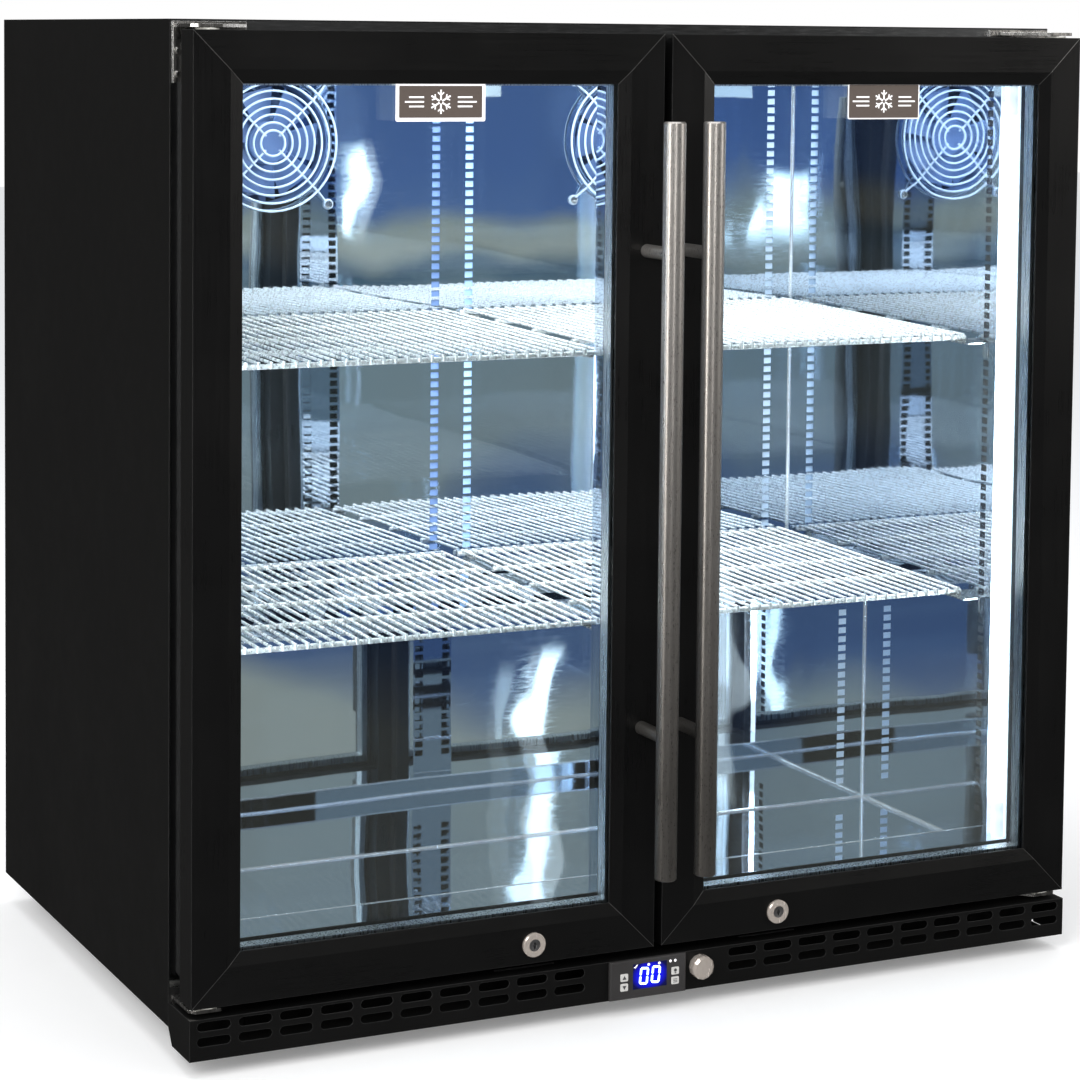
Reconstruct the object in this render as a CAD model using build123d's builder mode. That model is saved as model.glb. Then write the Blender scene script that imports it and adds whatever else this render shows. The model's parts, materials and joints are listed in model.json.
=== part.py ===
from build123d import *
import math
import os

os.makedirs("parts", exist_ok=True)

# Two-door glass-front under-counter fridge, in mm.
# X runs to the right, Y to the back and Z up. The origin is on the floor, under
# the middle of the bounding box.

# Outside sizes
WIDTH = 900.0
HEIGHT = 900.0
SIDE_X = WIDTH / 2
DOOR_FRONT_Y = -255.0
CABINET_FRONT_Y = -199.0
CABINET_BACK_Y = 315.0
CABINET_BOTTOM_Z = 29.0
PLINTH_BOTTOM_Z = 15.0
PLINTH_TOP_Z = 51.0
SHEET = 1.0
GAP = 0.1

# Cold space
LINER_SHEET = 0.8
LINER_X = 410.0
RECESS_X = 424.0
RECESS_BACK_Y = -181.0
SILL_TOP_Z = 99.0
SILL_BACK_Y = -148.0
FLOOR_Z = 83.0
STEP_Y = 49.0
STEP_TOP_Z = 305.0
LINER_BACK_Y = 275.0
CEILING_Z = 860.0
COVER_Y = 213.0
MULLION_X = 22.0
MULLION_BACK_Y = -158.0
OPENING_TOP_Z = 852.0

# Machine space below and behind the step
MACHINE_FRONT_Y = 89.0
MACHINE_TOP_Z = 265.0

# Slots that the shelf clips hook into
SLOT_WIDE = 9.0
SLOT_HIGH = 6.3
SLOT_PITCH = 9.5
BACK_SLOT_X = 382.0
MIDDLE_SLOT_X = 19.0
MULLION_SLOT_X = 15.5
SIDE_SLOT_Y = -164.0

# Shelves: top heights at the front, and how much higher the back edge sits
SHELF_TOPS_Z = {"upper": 598.0, "lower": 343.5}
SHELF_RISE = 6.5
SHELF_INNER_X = 7.0
SHELF_OUTER_X = 401.0
SHELF_FRONT_Y = -140.0
SHELF_BACK_Y = 208.0
SHELF_WIRE_R = 1.5
SHELF_ROD_R = 2.5
SHELF_RODS = 5
SHELF_WIRE_PITCH = 12.0
SHELF_DEPTH_Z = 7.5
CLIP_SHEET = 1.5

# Fans on the back wall
FAN_X = 203.0
FAN_Z = 778.0
FAN_HOLE_R = 62.0
GUARD_RING_RADII = [13.0, 21.0, 29.0, 37.0, 45.0, 53.0, 61.0, 69.0]
GUARD_WIRE_R = 1.2
GUARD_LUG_R = 89.0
FAN_BLADES = 7
SHAFT_R = 3.0
RUNNING_GAP = 0.05

# Doors
DOOR_EDGE_X = 448.5
DOOR_MEETING_X = 4.0
DOOR_BOTTOM_Z = 60.0
DOOR_TOP_Z = 891.0
FRAME_FACE = 45.0
FRAME_FLAT = 33.0
FRAME_SLOPE = 3.0
FRAME_LIP = 2.0
FRAME_REAR = 36.0
GLASS_EDGE = 31.0
PANE = 4.0
GLAZING_Y = 5.2
GLAZING_THICK = 21.6
GASKET_OUTER = 9.5
GASKET_INNER = 20.0
HANDLE_X = 20.0
HANDLE_Y = -305.0
HANDLE_R = 10.0
HANDLE_BOTTOM_Z = 137.0
HANDLE_TOP_Z = 814.0
HANDLE_POST_ZS = [264.0, 697.0]
HINGE_X = 430.5
HINGE_Y = -239.0
HINGE_PIN_R = 4.0
BUSH_R = 7.0
LOCK_X = 126.0
LOCK_Z = 77.0
LOCK_BODY_R = 9.0
LOCK_PLUG_R = 5.5
CAM_DEPTH = 16.0
CAM_REACH = 32.0

# Control panel in the plinth
PANEL_X = (-50.0, 28.0)
PANEL_FRONT_Y = -259.0
WINDOW_X = (-27.0, 8.0)
WINDOW_Z = (23.5, 47.0)
BUTTON_POSITIONS = {
    "up": (-36.0, 36.0),
    "down": (-36.0, 27.0),
    "lamp": (16.5, 36.0),
    "set": (16.5, 27.0),
}
BUTTON_WIDE = 7.8
BUTTON_HIGH = 7.0
KNOB_X = 44.0
KNOB_Z = 36.0

DOOR_HEIGHT = DOOR_TOP_Z - DOOR_BOTTOM_Z
DOOR_WIDTH = DOOR_EDGE_X - DOOR_MEETING_X
DOOR_MID_X = -(DOOR_EDGE_X + DOOR_MEETING_X) / 2
DOOR_MID_Z = (DOOR_BOTTOM_Z + DOOR_TOP_Z) / 2
SIDES = (-1, 1)

pieces = {}


def block(low, high, mode=Mode.ADD):
    """A box between two opposite corners."""
    size = [b - a for a, b in zip(low, high)]
    middle = [(a + b) / 2 for a, b in zip(low, high)]
    with Locations(tuple(middle)):
        Box(*size, mode=mode)


def mirrored(piece):
    """The same piece on the other side of the fridge."""
    with BuildPart() as other:
        mirror(piece.part, about=Plane.YZ)
    return other


def slot_rows(low_z, high_z):
    """Heights of the clip slots between two levels."""
    count = int((high_z - low_z) // SLOT_PITCH)
    return [low_z + SLOT_PITCH * (i + 0.5) for i in range(count)]


# ---------------------------------------------------------------- cabinet shell

# Outer casing: one folded sheet over both sides and the top, hemmed at the back.
with BuildPart() as outer_casing:
    with BuildSketch(Plane.XZ.offset(-CABINET_BACK_Y)):
        with Locations((0, (HEIGHT + CABINET_BOTTOM_Z) / 2)):
            Rectangle(WIDTH, HEIGHT - CABINET_BOTTOM_Z)
        with Locations((0, (HEIGHT + CABINET_BOTTOM_Z) / 2 - SHEET)):
            Rectangle(WIDTH - 2 * SHEET, HEIGHT - CABINET_BOTTOM_Z, mode=Mode.SUBTRACT)
    extrude(amount=CABINET_BACK_Y - CABINET_FRONT_Y)
    with BuildSketch(Plane.XZ.offset(-CABINET_BACK_Y)):
        with Locations((0, (HEIGHT + CABINET_BOTTOM_Z) / 2)):
            Rectangle(WIDTH - SHEET, HEIGHT - CABINET_BOTTOM_Z)
        with Locations((0, (HEIGHT + CABINET_BOTTOM_Z) / 2 - 12)):
            Rectangle(WIDTH - 24, HEIGHT - CABINET_BOTTOM_Z, mode=Mode.SUBTRACT)
    extrude(amount=SHEET)
pieces["outer_casing"] = outer_casing

# Back panel: flat sheet inside the casing's hem, open at the machine space.
with BuildPart() as back_panel:
    block(
        (-SIDE_X + SHEET + GAP, CABINET_BACK_Y - 2 * SHEET - GAP, CABINET_BOTTOM_Z),
        (SIDE_X - SHEET - GAP, CABINET_BACK_Y - SHEET - GAP, HEIGHT - SHEET - GAP),
    )
    block((-384, CABINET_BACK_Y - 3, 46), (384, CABINET_BACK_Y, 249), mode=Mode.SUBTRACT)
pieces["back_panel"] = back_panel

# Base pan: floor of the cabinet, with vents under the machine space.
FOOT_POSITIONS = [(-395, -165), (395, -165), (-395, 280), (395, 280)]
FOOT_STEM_R = 5.0
with BuildPart() as base_pan:
    block(
        (-SIDE_X + SHEET + GAP, CABINET_FRONT_Y + SHEET + GAP, CABINET_BOTTOM_Z),
        (SIDE_X - SHEET - GAP, CABINET_BACK_Y - 2 * SHEET - 2 * GAP, CABINET_BOTTOM_Z + 1.2),
    )
    with BuildSketch(Plane.XY.offset(CABINET_BOTTOM_Z)):
        with Locations(*FOOT_POSITIONS):
            Circle(FOOT_STEM_R + RUNNING_GAP)
        with Locations((180, 200)):
            with GridLocations(14, 0, 12, 1):
                SlotOverall(90, 6, rotation=90)
    extrude(amount=1.2, mode=Mode.SUBTRACT)
pieces["base_pan"] = base_pan

# Cold-space outline seen from the side, front to back, at a distance outside it.
def cold_outline(out):
    """Side outline of the cold space, moved outwards by a distance."""
    return [
        (CABINET_FRONT_Y + SHEET + GAP, SILL_TOP_Z - out),
        (SILL_BACK_Y - out, SILL_TOP_Z - out),
        (SILL_BACK_Y - out, FLOOR_Z - out),
        (STEP_Y + out, FLOOR_Z - out),
        (STEP_Y + out, STEP_TOP_Z - out),
        (LINER_BACK_Y + out, STEP_TOP_Z - out),
        (LINER_BACK_Y + out, CEILING_Z + out),
        (CABINET_FRONT_Y + SHEET + GAP, CEILING_Z + out),
    ]


def cold_space(out, mode):
    """Fills or clears the cold space and its front light recesses, grown outwards."""
    with BuildSketch(Plane.YZ) as outline:
        with BuildLine():
            Polyline(*cold_outline(out), close=True)
        make_face()
    extrude(outline.sketch, amount=LINER_X + out, both=True, mode=mode)
    front_y = CABINET_FRONT_Y + SHEET + GAP
    back_y = RECESS_BACK_Y + out
    inner_x, outer_x = LINER_X - 5, RECESS_X + out
    with BuildSketch(Plane.XY.offset(SILL_TOP_Z - out)) as recesses:
        with Locations((0, (front_y + back_y) / 2)):
            with GridLocations(inner_x + outer_x, 0, 2, 1):
                Rectangle(outer_x - inner_x, back_y - front_y)
    extrude(recesses.sketch, amount=CEILING_Z - SILL_TOP_Z + 2 * out, mode=mode)


# Inner liner: polished sheet with a stepped floor and slotted side walls.
PIPE_X, PIPE_Y = -300.0, 245.0
with BuildPart() as inner_liner:
    cold_space(LINER_SHEET, Mode.ADD)
    cold_space(0, Mode.SUBTRACT)
    with BuildSketch(Plane.YZ):
        for slot_z in slot_rows(118, 842):
            with Locations((SIDE_SLOT_Y, slot_z)):
                Rectangle(SLOT_WIDE, SLOT_HIGH)
    extrude(amount=SIDE_X, both=True, mode=Mode.SUBTRACT)
    with BuildSketch(Plane.XZ.offset(-STEP_Y - 2)):
        for slot_z in slot_rows(98, 292):
            with Locations((0, slot_z)):
                with GridLocations(2 * BACK_SLOT_X, 0, 2, 1):
                    Rectangle(SLOT_WIDE, SLOT_HIGH)
    extrude(amount=3, mode=Mode.SUBTRACT)
    with Locations((PIPE_X, PIPE_Y, STEP_TOP_Z)):
        Cylinder(radius=6, height=6, mode=Mode.SUBTRACT)
pieces["inner_liner"] = inner_liner

# Hinge screw positions: (x, z) on each side of the fridge.
TOP_SCREWS = [(443.5, 853.0), (443.5, 873.0)]
BOTTOM_SCREWS = [(434.0, 40.0), (400.0, 40.0)]
SCREW_R = 2.0


def screw_holes(radius, back_y):
    """Clears the hinge screw holes from the cabinet's front face backwards."""
    with BuildSketch(Plane.XZ.offset(-back_y)) as holes:
        for side in SIDES:
            for x, z in TOP_SCREWS + BOTTOM_SCREWS:
                with Locations((side * x, z)):
                    Circle(radius)
    extrude(holes.sketch, amount=back_y - CABINET_FRONT_Y + 5, mode=Mode.SUBTRACT)


# Insulation: foam between the casing and the liner, cut away for the machinery.
with BuildPart() as insulation:
    block(
        (-SIDE_X + SHEET + GAP, CABINET_FRONT_Y + SHEET + GAP, CABINET_BOTTOM_Z + 1.3),
        (SIDE_X - SHEET - GAP, CABINET_BACK_Y - 2 * SHEET - 2 * GAP, HEIGHT - SHEET - GAP),
    )
    cold_space(LINER_SHEET + GAP, Mode.SUBTRACT)
    block((-SIDE_X, MACHINE_FRONT_Y, 0), (SIDE_X, CABINET_BACK_Y, MACHINE_TOP_Z), mode=Mode.SUBTRACT)
    for foot_x, foot_y in FOOT_POSITIONS[:2]:
        with Locations((foot_x, foot_y, CABINET_BOTTOM_Z)):
            Cylinder(radius=11, height=40, mode=Mode.SUBTRACT)
    with Locations((PIPE_X, PIPE_Y, MACHINE_TOP_Z)):
        Cylinder(radius=6, height=90, mode=Mode.SUBTRACT)
    screw_holes(SCREW_R + GAP, CABINET_FRONT_Y + 14)
pieces["insulation"] = insulation

# Front frame: flat bright sheet round the opening.
with BuildPart() as front_frame:
    with BuildSketch(Plane.XZ.offset(-CABINET_FRONT_Y - SHEET)):
        with Locations((0, (HEIGHT + CABINET_BOTTOM_Z - SHEET) / 2)):
            Rectangle(WIDTH - 2 * SHEET - 2 * GAP, HEIGHT - CABINET_BOTTOM_Z - SHEET - 2 * GAP)
        with Locations((0, (SILL_TOP_Z + OPENING_TOP_Z) / 2)):
            Rectangle(2 * RECESS_X, OPENING_TOP_Z - SILL_TOP_Z, mode=Mode.SUBTRACT)
    extrude(amount=SHEET)
    screw_holes(SCREW_R + RUNNING_GAP, CABINET_FRONT_Y + 5)
pieces["front_frame"] = front_frame

# Centre mullion: square tube between the doors, with clip slots in its back.
with BuildPart() as centre_mullion:
    with BuildSketch(Plane.XY.offset(SILL_TOP_Z + GAP)):
        with Locations((0, (CABINET_FRONT_Y + MULLION_BACK_Y) / 2)):
            Rectangle(2 * MULLION_X, MULLION_BACK_Y - CABINET_FRONT_Y)
            Rectangle(2 * MULLION_X - 2, MULLION_BACK_Y - CABINET_FRONT_Y - 2, mode=Mode.SUBTRACT)
    extrude(amount=OPENING_TOP_Z - SILL_TOP_Z - 2 * GAP)
    block(
        (-MULLION_X, CABINET_FRONT_Y + SHEET + 2 * GAP, OPENING_TOP_Z - GAP),
        (MULLION_X, MULLION_BACK_Y, CEILING_Z - GAP),
    )
    with BuildSketch(Plane.XZ.offset(-MULLION_BACK_Y - 1)):
        for slot_z in slot_rows(118, 842):
            with Locations((0, slot_z)):
                with GridLocations(2 * MULLION_SLOT_X, 0, 2, 1):
                    Rectangle(SLOT_WIDE, SLOT_HIGH)
    extrude(amount=3, mode=Mode.SUBTRACT)
pieces["centre_mullion"] = centre_mullion

# ------------------------------------------------------------- air and lighting

# Evaporator cover: the visible back wall, with two fan openings and clip slots.
with BuildPart() as evaporator_cover:
    with BuildSketch(Plane.XZ.offset(-COVER_Y - LINER_SHEET)):
        with Locations((0, (STEP_TOP_Z + CEILING_Z) / 2)):
            Rectangle(2 * LINER_X - 4 * GAP, CEILING_Z - STEP_TOP_Z - 2 * GAP)
        with Locations((0, FAN_Z)):
            with GridLocations(2 * FAN_X, 0, 2, 1):
                Circle(FAN_HOLE_R, mode=Mode.SUBTRACT)
        with Locations((0, STEP_TOP_Z + 14)):
            with GridLocations(60, 0, 11, 1):
                SlotOverall(44, 8, mode=Mode.SUBTRACT)
        for slot_z in slot_rows(330, 850):
            with Locations((0, slot_z)):
                with GridLocations(2 * BACK_SLOT_X, 0, 2, 1):
                    Rectangle(SLOT_WIDE, SLOT_HIGH, mode=Mode.SUBTRACT)
                with GridLocations(2 * MIDDLE_SLOT_X, 0, 2, 1):
                    Rectangle(SLOT_WIDE, SLOT_HIGH, mode=Mode.SUBTRACT)
    extrude(amount=LINER_SHEET)
    with BuildSketch(Plane.XZ.offset(-COVER_Y - LINER_SHEET)):
        with Locations((0, FAN_Z)):
            with GridLocations(2 * FAN_X, 0, 2, 1):
                with PolarLocations(GUARD_LUG_R, 4, start_angle=45):
                    Circle(2.1)
    extrude(amount=LINER_SHEET, mode=Mode.SUBTRACT)
pieces["evaporator_cover"] = evaporator_cover

# Fan guards: rings of wire on crossed wires that end in screw eyes.
GUARD_RING_Y = COVER_Y - 8.0
GUARD_LUG_DROP = 5.1
with BuildPart() as guard_arm:
    with BuildLine() as arm_path:
        FilletPolyline(
            (10, 0, 0),
            (72, 0, 0),
            (82, 0, -GUARD_LUG_DROP),
            (GUARD_LUG_R - 3.0, 0, -GUARD_LUG_DROP),
            radius=3,
        )
    with BuildSketch(Plane.YZ.offset(10)):
        Circle(GUARD_WIRE_R)
    sweep(path=arm_path.line)
    with Locations((GUARD_LUG_R, 0, -GUARD_LUG_DROP)):
        Torus(4.2, GUARD_WIRE_R)

with BuildPart() as fan_guard:
    for ring_r in GUARD_RING_RADII:
        with Locations(Location((0, 0, 0), (0, 0, 20))):
            Torus(ring_r, GUARD_WIRE_R)
    with Locations((0, 0, -1.5)):
        with PolarLocations(0, 4, start_angle=45):
            add(guard_arm.part)
with BuildPart() as fan_guards:
    for side in SIDES:
        with Locations(Location((side * FAN_X, GUARD_RING_Y, FAN_Z), (90, 0, 0))):
            add(fan_guard.part)
pieces["fan_guards"] = fan_guards

with BuildPart() as guard_screws:
    for side in SIDES:
        with Locations(Location((side * FAN_X, COVER_Y - 4.0, FAN_Z), (90, 0, 0))):
            with PolarLocations(GUARD_LUG_R, 4, start_angle=45):
                Cylinder(radius=2.0, height=12, align=(Align.CENTER, Align.CENTER, Align.MAX))
                Cone(3.8, 2.6, 2.0, align=(Align.CENTER, Align.CENTER, Align.MIN))
pieces["guard_screws"] = guard_screws

# Fan frames: round duct, four arms and the motor, behind the cover.
FAN_FRONT_Y = COVER_Y + LINER_SHEET + GAP
FAN_PLANE = Plane(origin=(-FAN_X, FAN_FRONT_Y, FAN_Z), x_dir=(1, 0, 0), z_dir=(0, 1, 0))
with BuildPart() as fan_frame_left:
    with BuildSketch(FAN_PLANE):
        Circle(67)
        Circle(FAN_HOLE_R - 1, mode=Mode.SUBTRACT)
    extrude(amount=26)
    with BuildSketch(FAN_PLANE.offset(21)):
        Rectangle(126, 7)
        Rectangle(7, 126)
        Circle(26)
    extrude(amount=5)
    with BuildSketch(FAN_PLANE.offset(26)):
        Circle(24)
    extrude(amount=18)
    with BuildSketch(FAN_PLANE.offset(8)):
        Circle(SHAFT_R)
    extrude(amount=14)
with BuildPart() as fan_frames:
    add(fan_frame_left.part)
    mirror(fan_frame_left.part, about=Plane.YZ)
pieces["fan_frames"] = fan_frames


def blade_wheel(place, hub_r, tip_r, hub_long, blades, pitch_angle):
    """An axial fan wheel: a hub with a blind bore for the motor shaft, and blades."""
    with BuildPart() as blade:
        with BuildSketch(Plane.YZ.offset(hub_r - 2)):
            Rectangle(hub_r * 1.1, 1.6, rotation=pitch_angle)
        with BuildSketch(Plane.YZ.offset(tip_r)):
            Rectangle(hub_r * 1.9, 1.6, rotation=pitch_angle * 0.5)
        loft()
    with BuildPart() as wheel:
        with BuildSketch():
            Circle(hub_r)
        extrude(amount=hub_long)
        fillet(wheel.edges().group_by(Axis.Z)[0], radius=2.5)
        with Locations((0, 0, hub_long / 2)):
            with PolarLocations(0, blades):
                add(blade.part)
        with BuildSketch(Plane.XY.offset(2.5)):
            Circle(SHAFT_R + RUNNING_GAP)
        extrude(amount=hub_long, mode=Mode.SUBTRACT)
    with BuildPart() as placed:
        with Locations(place):
            add(wheel.part)
    return placed


fan_blades_left = blade_wheel(FAN_PLANE.offset(3).location, 22.0, 54.0, 16.0, FAN_BLADES, 30)
pieces["fan_blades_left"] = fan_blades_left
pieces["fan_blades_right"] = mirrored(fan_blades_left)

# Finned coils: aluminium fins on one tube bent back and forth through them.
def finned_coil(centre, half_span, fin_pitch, fins, fin_size, tube_r, row_pitch):
    """Fins across X on a tube of five level rows joined by round end bends."""
    turns = []
    for row in range(-2, 3):
        end = half_span + row_pitch / 2
        ends = (-end, end) if row % 2 == 0 else (end, -end)
        turns += [(x, 0, row * row_pitch) for x in ends]
    with BuildPart() as tube:
        with BuildLine() as tube_path:
            FilletPolyline(*turns, radius=row_pitch / 2 - 0.2)
        with BuildSketch(Plane(origin=turns[0], z_dir=(1, 0, 0))):
            Circle(tube_r)
        sweep(path=tube_path.line)
    with BuildPart() as coil:
        with Locations(centre):
            add(tube.part)
            with GridLocations(fin_pitch, 0, fins, 1):
                Box(0.6, fin_size[0], fin_size[1])
    return coil


pieces["evaporator_coil"] = finned_coil((0, 242, 500), 265, 12, 43, (40, 250), 5, 50)

# Light strips: aluminium base and round-fronted milky cover in each front recess.
LIGHT_X, LIGHT_Y = 416.8, -190.0
LIGHT_R = 6.4
LIGHT_BASE_X = 421.5
LIGHT_Z = (100.0, 851.0)
with BuildPart() as light_channels:
    with BuildSketch(Plane.XY.offset(LIGHT_Z[0])):
        with Locations((0, LIGHT_Y)):
            with GridLocations(LIGHT_BASE_X + RECESS_X - GAP, 0, 2, 1):
                Rectangle(RECESS_X - GAP - LIGHT_BASE_X, 11)
    extrude(amount=LIGHT_Z[1] - LIGHT_Z[0])
pieces["light_channels"] = light_channels

with BuildPart() as light_covers:
    with BuildSketch(Plane.XY.offset(LIGHT_Z[0])):
        with Locations((0, LIGHT_Y)):
            with GridLocations(2 * LIGHT_X, 0, 2, 1):
                Circle(LIGHT_R)
            with GridLocations(2 * (LIGHT_BASE_X - GAP) + 10, 0, 2, 1):
                Rectangle(10, 20, mode=Mode.SUBTRACT)
    extrude(amount=LIGHT_Z[1] - LIGHT_Z[0])
pieces["light_covers"] = light_covers

# --------------------------------------------------------------------- shelves


def wire_shelf(top_z):
    """A wire shelf for the right-hand bay: wires on five rods, bent down in front."""
    wire_z = SHELF_DEPTH_Z - SHELF_WIRE_R - SHELF_ROD_R
    middle_x = (SHELF_INNER_X + SHELF_OUTER_X) / 2
    span = SHELF_OUTER_X - SHELF_INNER_X
    depth = SHELF_BACK_Y - SHELF_FRONT_Y
    count = int(span // SHELF_WIRE_PITCH) + 1
    bend_y = -SHELF_ROD_R - SHELF_WIRE_R + 0.3
    with BuildPart() as flat:
        with BuildSketch(Plane.XZ.offset(-depth)):
            with Locations((middle_x, wire_z)):
                with GridLocations(SHELF_WIRE_PITCH, 0, count, 1):
                    Circle(SHELF_WIRE_R)
        extrude(amount=depth - bend_y)
        with BuildSketch(Plane.XY.offset(-SHELF_ROD_R / 2)):
            with Locations((middle_x, bend_y)):
                with GridLocations(SHELF_WIRE_PITCH, 0, count, 1):
                    Circle(SHELF_WIRE_R + 0.05)
        extrude(amount=wire_z + SHELF_ROD_R / 2 + 1.2)
        with BuildSketch(Plane.YZ.offset(SHELF_INNER_X)):
            with Locations((depth / 2, 0)):
                with GridLocations(depth / (SHELF_RODS - 1), 0, SHELF_RODS, 1):
                    Circle(SHELF_ROD_R)
        extrude(amount=span)
    tilt = math.degrees(math.asin(SHELF_RISE / depth))
    front_rod = (0, SHELF_FRONT_Y, top_z - SHELF_DEPTH_Z + SHELF_ROD_R)
    with BuildPart() as shelf:
        with Locations(Location(front_rod, (tilt, 0, 0))):
            add(flat.part)
    return shelf


for level, top_z in SHELF_TOPS_Z.items():
    right_shelf = wire_shelf(top_z)
    pieces[f"shelf_{level}_right"] = right_shelf
    pieces[f"shelf_{level}_left"] = mirrored(right_shelf)

# Shelf clips: bent tabs that hook into the slots and carry the shelf rods.
with BuildPart() as shelf_clips:
    for top_z in SHELF_TOPS_Z.values():
        high = top_z - SHELF_DEPTH_Z - 0.02
        back_high = high + SHELF_RISE
        for side in SIDES:
            for x in (side * BACK_SLOT_X, side * MIDDLE_SLOT_X):
                block(
                    (x - 4, COVER_Y - 24, back_high - CLIP_SHEET),
                    (x + 4, COVER_Y - GAP, back_high),
                )
                block(
                    (x - 4, COVER_Y - GAP - CLIP_SHEET, back_high - 16),
                    (x + 4, COVER_Y - GAP, back_high),
                )
            x = side * MULLION_SLOT_X
            block((x - 4, MULLION_BACK_Y + GAP, high - CLIP_SHEET), (x + 4, -126, high))
            block((x - 4, MULLION_BACK_Y + GAP, high - 16), (x + 4, MULLION_BACK_Y + GAP + CLIP_SHEET, high))
            wall = side * (LINER_X - GAP)
            block(
                (min(wall, wall - side * 24), -168, high - CLIP_SHEET),
                (max(wall, wall - side * 24), -126, high),
            )
            block(
                (min(wall, wall - side * CLIP_SHEET), -168, high - 16),
                (max(wall, wall - side * CLIP_SHEET), -160, high),
            )
pieces["shelf_clips"] = shelf_clips

# ----------------------------------------------------------------- machine space

COMPRESSOR = (-215.0, 200.0)
with BuildPart() as compressor:
    with BuildSketch(Plane.XY.offset(48)):
        with Locations(COMPRESSOR):
            Ellipse(78, 62)
    extrude(amount=132)
    fillet(compressor.edges().group_by(Axis.Z)[-1], radius=38)
    fillet(compressor.edges().group_by(Axis.Z)[0], radius=14)
    with BuildSketch(Plane.XY.offset(46)):
        with Locations(COMPRESSOR):
            RectangleRounded(200, 110, 12)
            with GridLocations(170, 80, 2, 2):
                Circle(7.1, mode=Mode.SUBTRACT)
    extrude(amount=3)
    block((-330, 175, 80), (-290, 225, 140))
pieces["compressor"] = compressor

with BuildPart() as compressor_mounts:
    with Locations((COMPRESSOR[0], COMPRESSOR[1], CABINET_BOTTOM_Z + 1.3)):
        with GridLocations(170, 80, 2, 2):
            Cylinder(radius=12, height=15.6, align=(Align.CENTER, Align.CENTER, Align.MIN))
            Cylinder(radius=7, height=22, align=(Align.CENTER, Align.CENTER, Align.MIN))
pieces["compressor_mounts"] = compressor_mounts

CONDENSER_X = 180.0
pieces["condenser_coil"] = finned_coil((CONDENSER_X, 128, 150), 118, 8, 29, (44, 190), 4, 38)

# Condenser fan: shroud behind the coil, motor on a bracket, and its blade wheel.
SHROUD_Y = 154.0
with BuildPart() as condenser_shroud:
    block((CONDENSER_X - 112, SHROUD_Y, 56), (CONDENSER_X + 112, SHROUD_Y + 24, 244))
    block(
        (CONDENSER_X - 110, SHROUD_Y - 1, 58),
        (CONDENSER_X + 110, SHROUD_Y + 22, 242),
        mode=Mode.SUBTRACT,
    )
    with Locations(Location((CONDENSER_X, SHROUD_Y + 23, 150), (90, 0, 0))):
        Cylinder(radius=84, height=10, mode=Mode.SUBTRACT)
    block((CONDENSER_X - 6, SHROUD_Y + 22, 50), (CONDENSER_X + 6, SHROUD_Y + 26, 244))
    with Locations(Location((CONDENSER_X, SHROUD_Y + 46, 150), (90, 0, 0))):
        Cylinder(radius=28, height=44)
    with Locations(Location((CONDENSER_X, SHROUD_Y + 16, 150), (90, 0, 0))):
        Cylinder(radius=3, height=20)
pieces["condenser_shroud"] = condenser_shroud

CONDENSER_PLANE = Plane(
    origin=(CONDENSER_X, SHROUD_Y + 1, 150), x_dir=(1, 0, 0), z_dir=(0, 1, 0)
)
condenser_blades = blade_wheel(CONDENSER_PLANE.location, 26.0, 80.0, 14.0, 5, 28)
pieces["condenser_blades"] = condenser_blades

# Copper pipes: discharge to the condenser and suction up to the evaporator.
with BuildPart() as refrigerant_pipes:
    with BuildLine() as discharge:
        FilletPolyline(
            (-160, 232, 172), (-160, 232, 236), (-40, 232, 236), (-40, 128, 236), (66, 128, 236),
            radius=14,
        )
    with BuildSketch(Plane(origin=discharge.line @ 0, z_dir=discharge.line % 0)):
        Circle(4)
    sweep(path=discharge.line)
    with BuildLine() as suction:
        FilletPolyline(
            (-262, 200, 181), (-262, 200, 220), (PIPE_X, 200, 220), (PIPE_X, PIPE_Y, 220),
            (PIPE_X, PIPE_Y, 400),
            radius=12,
        )
    with BuildSketch(Plane(origin=suction.line @ 0, z_dir=suction.line % 0)):
        Circle(4)
    sweep(path=suction.line)
pieces["refrigerant_pipes"] = refrigerant_pipes

with BuildPart() as drip_tray:
    block((-95, 110, 36), (45, 290, 64))
    block((-93, 112, 38), (43, 288, 66), mode=Mode.SUBTRACT)
    with Locations((-25, 200, 33.2)):
        with GridLocations(100, 140, 2, 2):
            Cylinder(radius=6, height=5.8)
pieces["drip_tray"] = drip_tray

# Rear cover: dished and louvred, fixed from inside the back panel.
COVER_BACK_Y = CABINET_BACK_Y - 2 * SHEET - 2 * GAP
with BuildPart() as rear_cover:
    block((-394, COVER_BACK_Y - 1.2, 36), (394, COVER_BACK_Y, 259))
    block((-383, COVER_BACK_Y - 17, 47), (383, COVER_BACK_Y, 248))
    block((-381.8, COVER_BACK_Y - 15.8, 48.2), (381.8, COVER_BACK_Y + 1, 246.8), mode=Mode.SUBTRACT)
    with BuildSketch(Plane.XZ.offset(-COVER_BACK_Y)):
        for vent_x in (-200, 170):
            with Locations((vent_x, 150)):
                with GridLocations(66, 14, 4, 11):
                    SlotOverall(54, 6)
        with Locations((0, 70)):
            Circle(6.0)
    extrude(amount=20, mode=Mode.SUBTRACT)
pieces["rear_cover"] = rear_cover

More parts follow.
